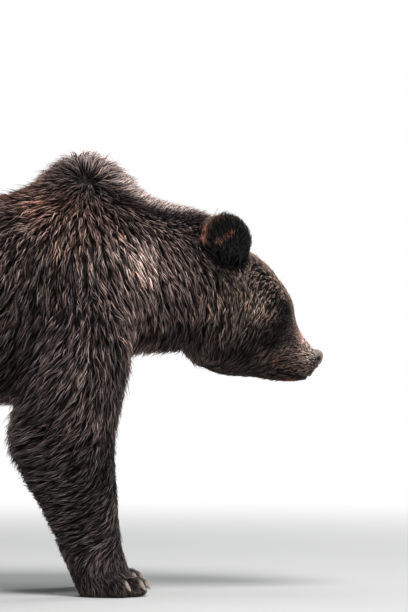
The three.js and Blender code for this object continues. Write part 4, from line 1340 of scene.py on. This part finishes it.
claws = {(paw, label): modelClaws(paw, label) for paw in ("forepaw", "hindpaw") for label in sideOf}
print("claws modelled")

# The paints


class Wire:
    # One output of a node, with the sums that the paints use
    def __init__(self, paint, socket):
        self.paint = paint
        self.socket = socket

    def sum(self, operation, first, second):
        return self.paint.node("Math", {"operation": operation}, {0: first, 1: second})

    def __add__(self, other):
        return self.sum("ADD", self, other)

    def __radd__(self, other):
        return self.sum("ADD", other, self)

    def __sub__(self, other):
        return self.sum("SUBTRACT", self, other)

    def __rsub__(self, other):
        return self.sum("SUBTRACT", other, self)

    def __mul__(self, other):
        return self.sum("MULTIPLY", self, other)

    def __rmul__(self, other):
        return self.sum("MULTIPLY", other, self)

    def __pow__(self, other):
        return self.sum("POWER", self, other)

    def spread(self, share, least):
        return self * share + least


class Paint:
    # A material being wired up: node adds any node, and the rest are its common uses
    def __init__(self, name, material=None, shader="Principled BSDF"):
        self.material = material or bpy.data.materials.new(name)
        self.material.use_nodes = True
        self.tree = self.material.node_tree
        self.shader = self.tree.nodes[shader]

    def plug(self, socket, value):
        if isinstance(value, Wire):
            self.tree.links.new(value.socket, socket)
        else:
            socket.default_value = value

    def node(self, kind, settings=None, inputs=None, output=0):
        made = self.tree.nodes.new("ShaderNode" + kind)
        for key, value in (settings or {}).items():
            setattr(made, key, value)
        for key, value in (inputs or {}).items():
            self.plug(made.inputs[key], value)
        return Wire(self, made.outputs[output])

    def attribute(self, name, output="Fac"):
        return self.node("Attribute", {"attribute_name": name}, output=output)

    def place(self):
        return self.node("TexCoord", output="Object")

    def noise(self, scale, vector=None, detail=3, roughness=0.5):
        inputs = {"Vector": vector or self.place(), "Scale": scale, "Detail": detail, "Roughness": roughness}
        return self.node("TexNoise", None, inputs)

    def range(self, value, start, end, low=0.0, high=1.0):
        inputs = {"Value": value, "From Min": start, "From Max": end, "To Min": low, "To Max": high}
        return self.node("MapRange", {"interpolation_type": "SMOOTHSTEP"}, inputs)

    def mix(self, share, first, second, blend="MIX"):
        settings = {"data_type": "RGBA", "blend_type": blend}
        return self.node("Mix", settings, {0: share, 6: first, 7: second}, 2)

    def scale(self, colour, factor):
        colour = colour if isinstance(colour, Wire) else colour[:3]
        return self.node("VectorMath", {"operation": "SCALE"}, {0: colour, "Scale": factor})

    def joined(self, x, y, z):
        return self.node("CombineXYZ", None, {0: x, 1: y, 2: z})

    def bumped(self, height, strength, distance):
        return self.node("Bump", None, {"Strength": strength, "Distance": distance, "Height": height})

    def seen(self):
        # 1 where the camera looks, straight or by way of something shiny or clear
        outputs = self.node("LightPath").socket.node.outputs
        rays = ("Camera", "Glossy", "Transmission")
        camera, glossy, clear = (Wire(self, outputs[f"Is {ray} Ray"]) for ray in rays)
        return self.node("Math", {"operation": "MINIMUM"}, {0: camera + glossy + clear, 1: 1.0})

    def shaded(self):
        return Wire(self, self.shader.outputs[0])

    def output(self, name, surface):
        self.plug(self.tree.nodes[name].inputs["Surface"], surface)

    def finish(self, **sockets):
        for name, value in sockets.items():
            self.plug(self.shader.inputs[name.replace("_", " ")], value)
        return self.material


def dye(red, green, blue):
    return (*tint(red, green, blue).tolist(), 1.0)


# In these dictionaries finish holds the shader's own inputs, and a pair for vary, or for a noise or an
# attribute, holds how much it adds to a colour's strength and the least it leaves.
coatPaint = {
    # From where to where along a tuft or over the locks, and between which strengths
    "rise": (0.05, 0.9, 0.05, 1.0), "warmth": (0.5, 1.0, 0.0, 0.55), "brown": (246, 222, 208),
    # low, range and power darken covered tufts and edge darkens each tuft's sides, as painted shade; rise
    # darkens the roots, partly as painted shade
    "low": 0.09, "range": 3.75, "power": 2.1, "edge": 0.75,
    "patchScale": 16.0, "strandShape": (12.0, 2.5, 60.0),
    "lock": (0.7, 0.6), "tone": (0.5, 0.75), "patches": (1.2, 0.45), "strands": (0.9, 0.6),
    "bump": (0.35, 0.0006), "finish": {"Roughness": 0.6, "Specular_IOR_Level": 0.12},
}


def paintCoat():
    # Dark roots and edges, lighter tips, and lighter upper tufts than those they cover: the dark roots are
    # partly the hair's own colour and partly painted shade, and the dark edges and covered tufts are painted
    # shade
    paint = Paint("coatHair")
    along, across, layer, tone, lock = (
        paint.attribute(name) for name in ("along", "across", "layer", "tone", "lock"))
    markingsAndPaintedLight = paint.attribute("markingsAndPaintedLight", "Color")
    patches = paint.noise(coatPaint["patchScale"])
    shape = (value * scale for value, scale in zip((across, along, tone), coatPaint["strandShape"]))
    strands = paint.noise(1.0, paint.joined(*shape), detail=2)
    rise = paint.range(along, *coatPaint["rise"])
    # Painted shade: covered tufts are darker, and each tuft is darker towards its sides
    paintedUnderShade = (layer ** coatPaint["power"]) * coatPaint["range"] + coatPaint["low"]
    ridge = 1 - across * across * 4 * coatPaint["edge"]
    bright = rise * paintedUnderShade * ridge * lock.spread(*coatPaint["lock"]) * tone.spread(*coatPaint["tone"])
    bright = bright * patches.spread(*coatPaint["patches"]) * strands.spread(*coatPaint["strands"])
    brown = paint.mix(1.0, markingsAndPaintedLight, dye(*coatPaint["brown"]), "MULTIPLY")
    warmth = paint.range(lock, *coatPaint["warmth"])
    body = paint.scale(paint.mix(warmth, markingsAndPaintedLight, brown), bright)
    height = paint.bumped(strands, *coatPaint["bump"])
    return paint.finish(Base_Color=body, Normal=height, **coatPaint["finish"])


skinPaint = {
    "pores": 700.0, "blotches": 40.0, "hide": (0.10, 0.05), "leather": (50, 43, 41), "vary": (0.8, 0.5),
    "edge": (0.2, 0.6), "bump": (0.4, 0.0008), "finish": {"Roughness": 0.6, "Specular_IOR_Level": 0.1},
}


def paintSkin():
    paint = Paint("skinHide")
    markingsAndPaintedLight = paint.attribute("markingsAndPaintedLight", "Color")
    leather = paint.attribute("leather")
    pores = paint.noise(skinPaint["pores"], detail=4)
    blotches = paint.noise(skinPaint["blotches"])
    hide = paint.scale(markingsAndPaintedLight, blotches.spread(*skinPaint["hide"]))
    bare = paint.scale(dye(*skinPaint["leather"]), blotches.spread(*skinPaint["vary"]))
    colour = paint.mix(paint.range(leather, *skinPaint["edge"]), hide, bare)
    height = paint.bumped(pores, *skinPaint["bump"])
    return paint.finish(Base_Color=colour, Normal=height, **skinPaint["finish"])


# The nose's leather is painted far paler than a bear's near-black nose: painted sheen of its wet gloss. Its
# hollows get painted shade.
nosePaint = {
    "cells": 620.0, "blotches": 160.0, "leather": (144, 129, 123), "vary": (0.7, 0.6),
    "hollow": (22, 18, 17), "edge": (0.1, 0.7), "bump": (0.35, 0.0007), "finish": {"Roughness": 0.38},
}


def paintNose():
    paint = Paint("noseLeather")
    hollow = paint.attribute("hollow")
    inputs = {"Vector": paint.place(), "Scale": nosePaint["cells"]}
    cells = paint.node("TexVoronoi", {"feature": "F1"}, inputs)
    blotches = paint.noise(nosePaint["blotches"])
    bare = paint.scale(dye(*nosePaint["leather"]), blotches.spread(*nosePaint["vary"]))
    colour = paint.mix(paint.range(hollow, *nosePaint["edge"]), bare, dye(*nosePaint["hollow"]))
    height = paint.bumped(cells, *nosePaint["bump"])
    return paint.finish(Base_Color=colour, Normal=height, **nosePaint["finish"])


lidPaint = {
    "blotches": 400.0, "leather": (26, 21, 19), "vary": (0.8, 0.5), "bump": (0.3, 0.0004),
    "finish": {"Roughness": 0.5, "Specular_IOR_Level": 0.1},
}


def paintLids():
    paint = Paint("lidLeather")
    blotches = paint.noise(lidPaint["blotches"])
    colour = paint.scale(dye(*lidPaint["leather"]), blotches.spread(*lidPaint["vary"]))
    height = paint.bumped(blotches, *lidPaint["bump"])
    return paint.finish(Base_Color=colour, Normal=height, **lidPaint["finish"])


# The edges of the ring and the pupil are angles from the gaze.
eyePaint = {
    "fibres": 900.0, "iris": (54, 31, 19), "vary": (0.9, 0.5), "ring": (20, 14, 12), "ringEdge": (0.58, 0.68),
    "pupil": (4, 4, 4), "pupilEdge": (0.30, 0.34),
    "finish": {"Roughness": 0.07, "IOR": 1.38, "Specular_IOR_Level": 0.25},
}


def paintEye():
    paint = Paint("eyeGlass")
    turn = paint.attribute("turn")
    fibres = paint.noise(eyePaint["fibres"], detail=2)
    iris = paint.scale(dye(*eyePaint["iris"]), fibres.spread(*eyePaint["vary"]))
    ring = paint.mix(paint.range(turn, *eyePaint["ringEdge"]), iris, dye(*eyePaint["ring"]))
    colour = paint.mix(paint.range(turn, *eyePaint["pupilEdge"]), dye(*eyePaint["pupil"]), ring)
    return paint.finish(Base_Color=colour, **eyePaint["finish"])


clawPaint = {
    "root": (84, 73, 67), "middle": (186, 168, 156), "tip": (210, 196, 184),
    "rootEdge": (0.12, 0.5), "tipEdge": (0.75, 1.0), "grain": 260.0, "vary": (0.6, 0.7),
    "bump": (0.25, 0.0005), "finish": {"Roughness": 0.38},
}


def paintClaws():
    paint = Paint("clawHorn")
    along = paint.attribute("along")
    grain = paint.noise(clawPaint["grain"], detail=4)
    root = paint.range(along, *clawPaint["rootEdge"])
    colour = paint.mix(root, dye(*clawPaint["root"]), dye(*clawPaint["middle"]))
    colour = paint.mix(paint.range(along, *clawPaint["tipEdge"]), colour, dye(*clawPaint["tip"]))
    colour = paint.scale(colour, grain.spread(*clawPaint["vary"]))
    height = paint.bumped(grain, *clawPaint["bump"])
    return paint.finish(Base_Color=colour, Normal=height, **clawPaint["finish"])


def dress(piece, material, replaced=()):
    piece.data.materials.clear()
    piece.data.materials.append(material)
    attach(piece, "root")
    if replaced:
        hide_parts(*replaced)


shadeSmooth(skin.data)
dress(skin, paintSkin(), fleshNodes)
coatMaterial = paintCoat()
for piece in coatPieces:
    dress(piece, coatMaterial)
dress(nose, paintNose(), ["nose"])
eyeMaterial, lidMaterial, clawMaterial = paintEye(), paintLids(), paintClaws()
for label in sideOf:
    dress(eyes[label], eyeMaterial, [f"eye_{label}"])
    dress(lids[label], lidMaterial)
for piece, names in claws.values():
    dress(piece, clawMaterial, names)
print("painted")

# Floor, light and camera

floorPlan = {
    "radius": 14, "around": 96, "near": 1.6, "far": 4.5, "colour": (0.80, 0.80, 0.79, 1),
    "finish": {"Roughness": 0.9, "Specular_IOR_Level": 0.0},
}


def layFloor():
    deselectAll()
    bpy.ops.mesh.primitive_circle_add(
        vertices=floorPlan["around"], radius=floorPlan["radius"], fill_type="NGON")
    floor = bpy.context.object
    floor.name = "floor"
    paint = Paint("floorPale")
    away = paint.node("VectorMath", {"operation": "LENGTH"}, {0: paint.place()}, "Value")
    white = paint.node("Emission", None, {"Color": (1, 1, 1, 1), "Strength": 1.0})
    fade = paint.range(away, floorPlan["near"], floorPlan["far"]) * paint.seen()
    paint.finish(Base_Color=floorPlan["colour"], **floorPlan["finish"])
    mixed = paint.node("MixShader", None, {0: fade, 1: paint.shaded(), 2: white})
    paint.output("Material Output", mixed)
    floor.data.materials.append(paint.material)
    floor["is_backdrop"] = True


worldPlan = {"fill": 0.22, "colour": (0.93, 0.96, 1.0, 1)}


def lightWorld():
    # A soft fill on the bear, and plain white behind it for the camera and in what its eyes reflect
    paint = Paint("studio", bpy.data.worlds.new("studio"), "Background")
    scene.world = paint.material
    paint.finish(Color=worldPlan["colour"], Strength=worldPlan["fill"])
    white = paint.node("Background", None, {"Color": (1, 1, 1, 1), "Strength": 1.0})
    mixed = paint.node("MixShader", None, {0: paint.seen(), 1: paint.shaded(), 2: white})
    paint.output("World Output", mixed)


lampAim = (0.2, 0, 0.55)
lampPlan = [
    ("key", (0.9, -3.0, 5.2), 2.0, 235),
    ("rim", (3.2, 2.8, 3.2), 1.8, 55),
    ("top", (-0.4, 0.4, 4.6), 2.6, 26),
]


def addLamp(name, place, size, watts):
    bpy.ops.object.light_add(type="AREA", location=place)
    lamp = bpy.context.object
    lamp.name = name
    lamp.data.size = size
    lamp.data.energy = watts
    aim = Vector(lampAim) - Vector(place)
    lamp.rotation_euler = aim.to_track_quat("-Z", "Y").to_euler()


layFloor()
lightWorld()
for row in lampPlan:
    addLamp(*row)

cameraPlan = {
    "middle": ("neck", (0.638, 0, 0)), "away": 9.0, "height": 0.640, "aim": 0.658, "lens": 230.2, "far": 100,
}


def placeCamera():
    aimX = spot(*cameraPlan["middle"])[0]
    bpy.ops.object.camera_add(location=(aimX, -cameraPlan["away"], cameraPlan["height"]))
    camera = bpy.context.object
    camera.data.lens = cameraPlan["lens"]
    camera.data.clip_end = cameraPlan["far"]
    aim = Vector((aimX, 0, cameraPlan["aim"])) - camera.location
    camera.rotation_euler = aim.to_track_quat("-Z", "Y").to_euler()
    scene.camera = camera


placeCamera()
scene.view_settings.view_transform = "Standard"
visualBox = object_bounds()
boxes = {"cad": cadBox, "visual": visualBox}
{key: [list(corner) for corner in box] for key, box in boxes.items()}
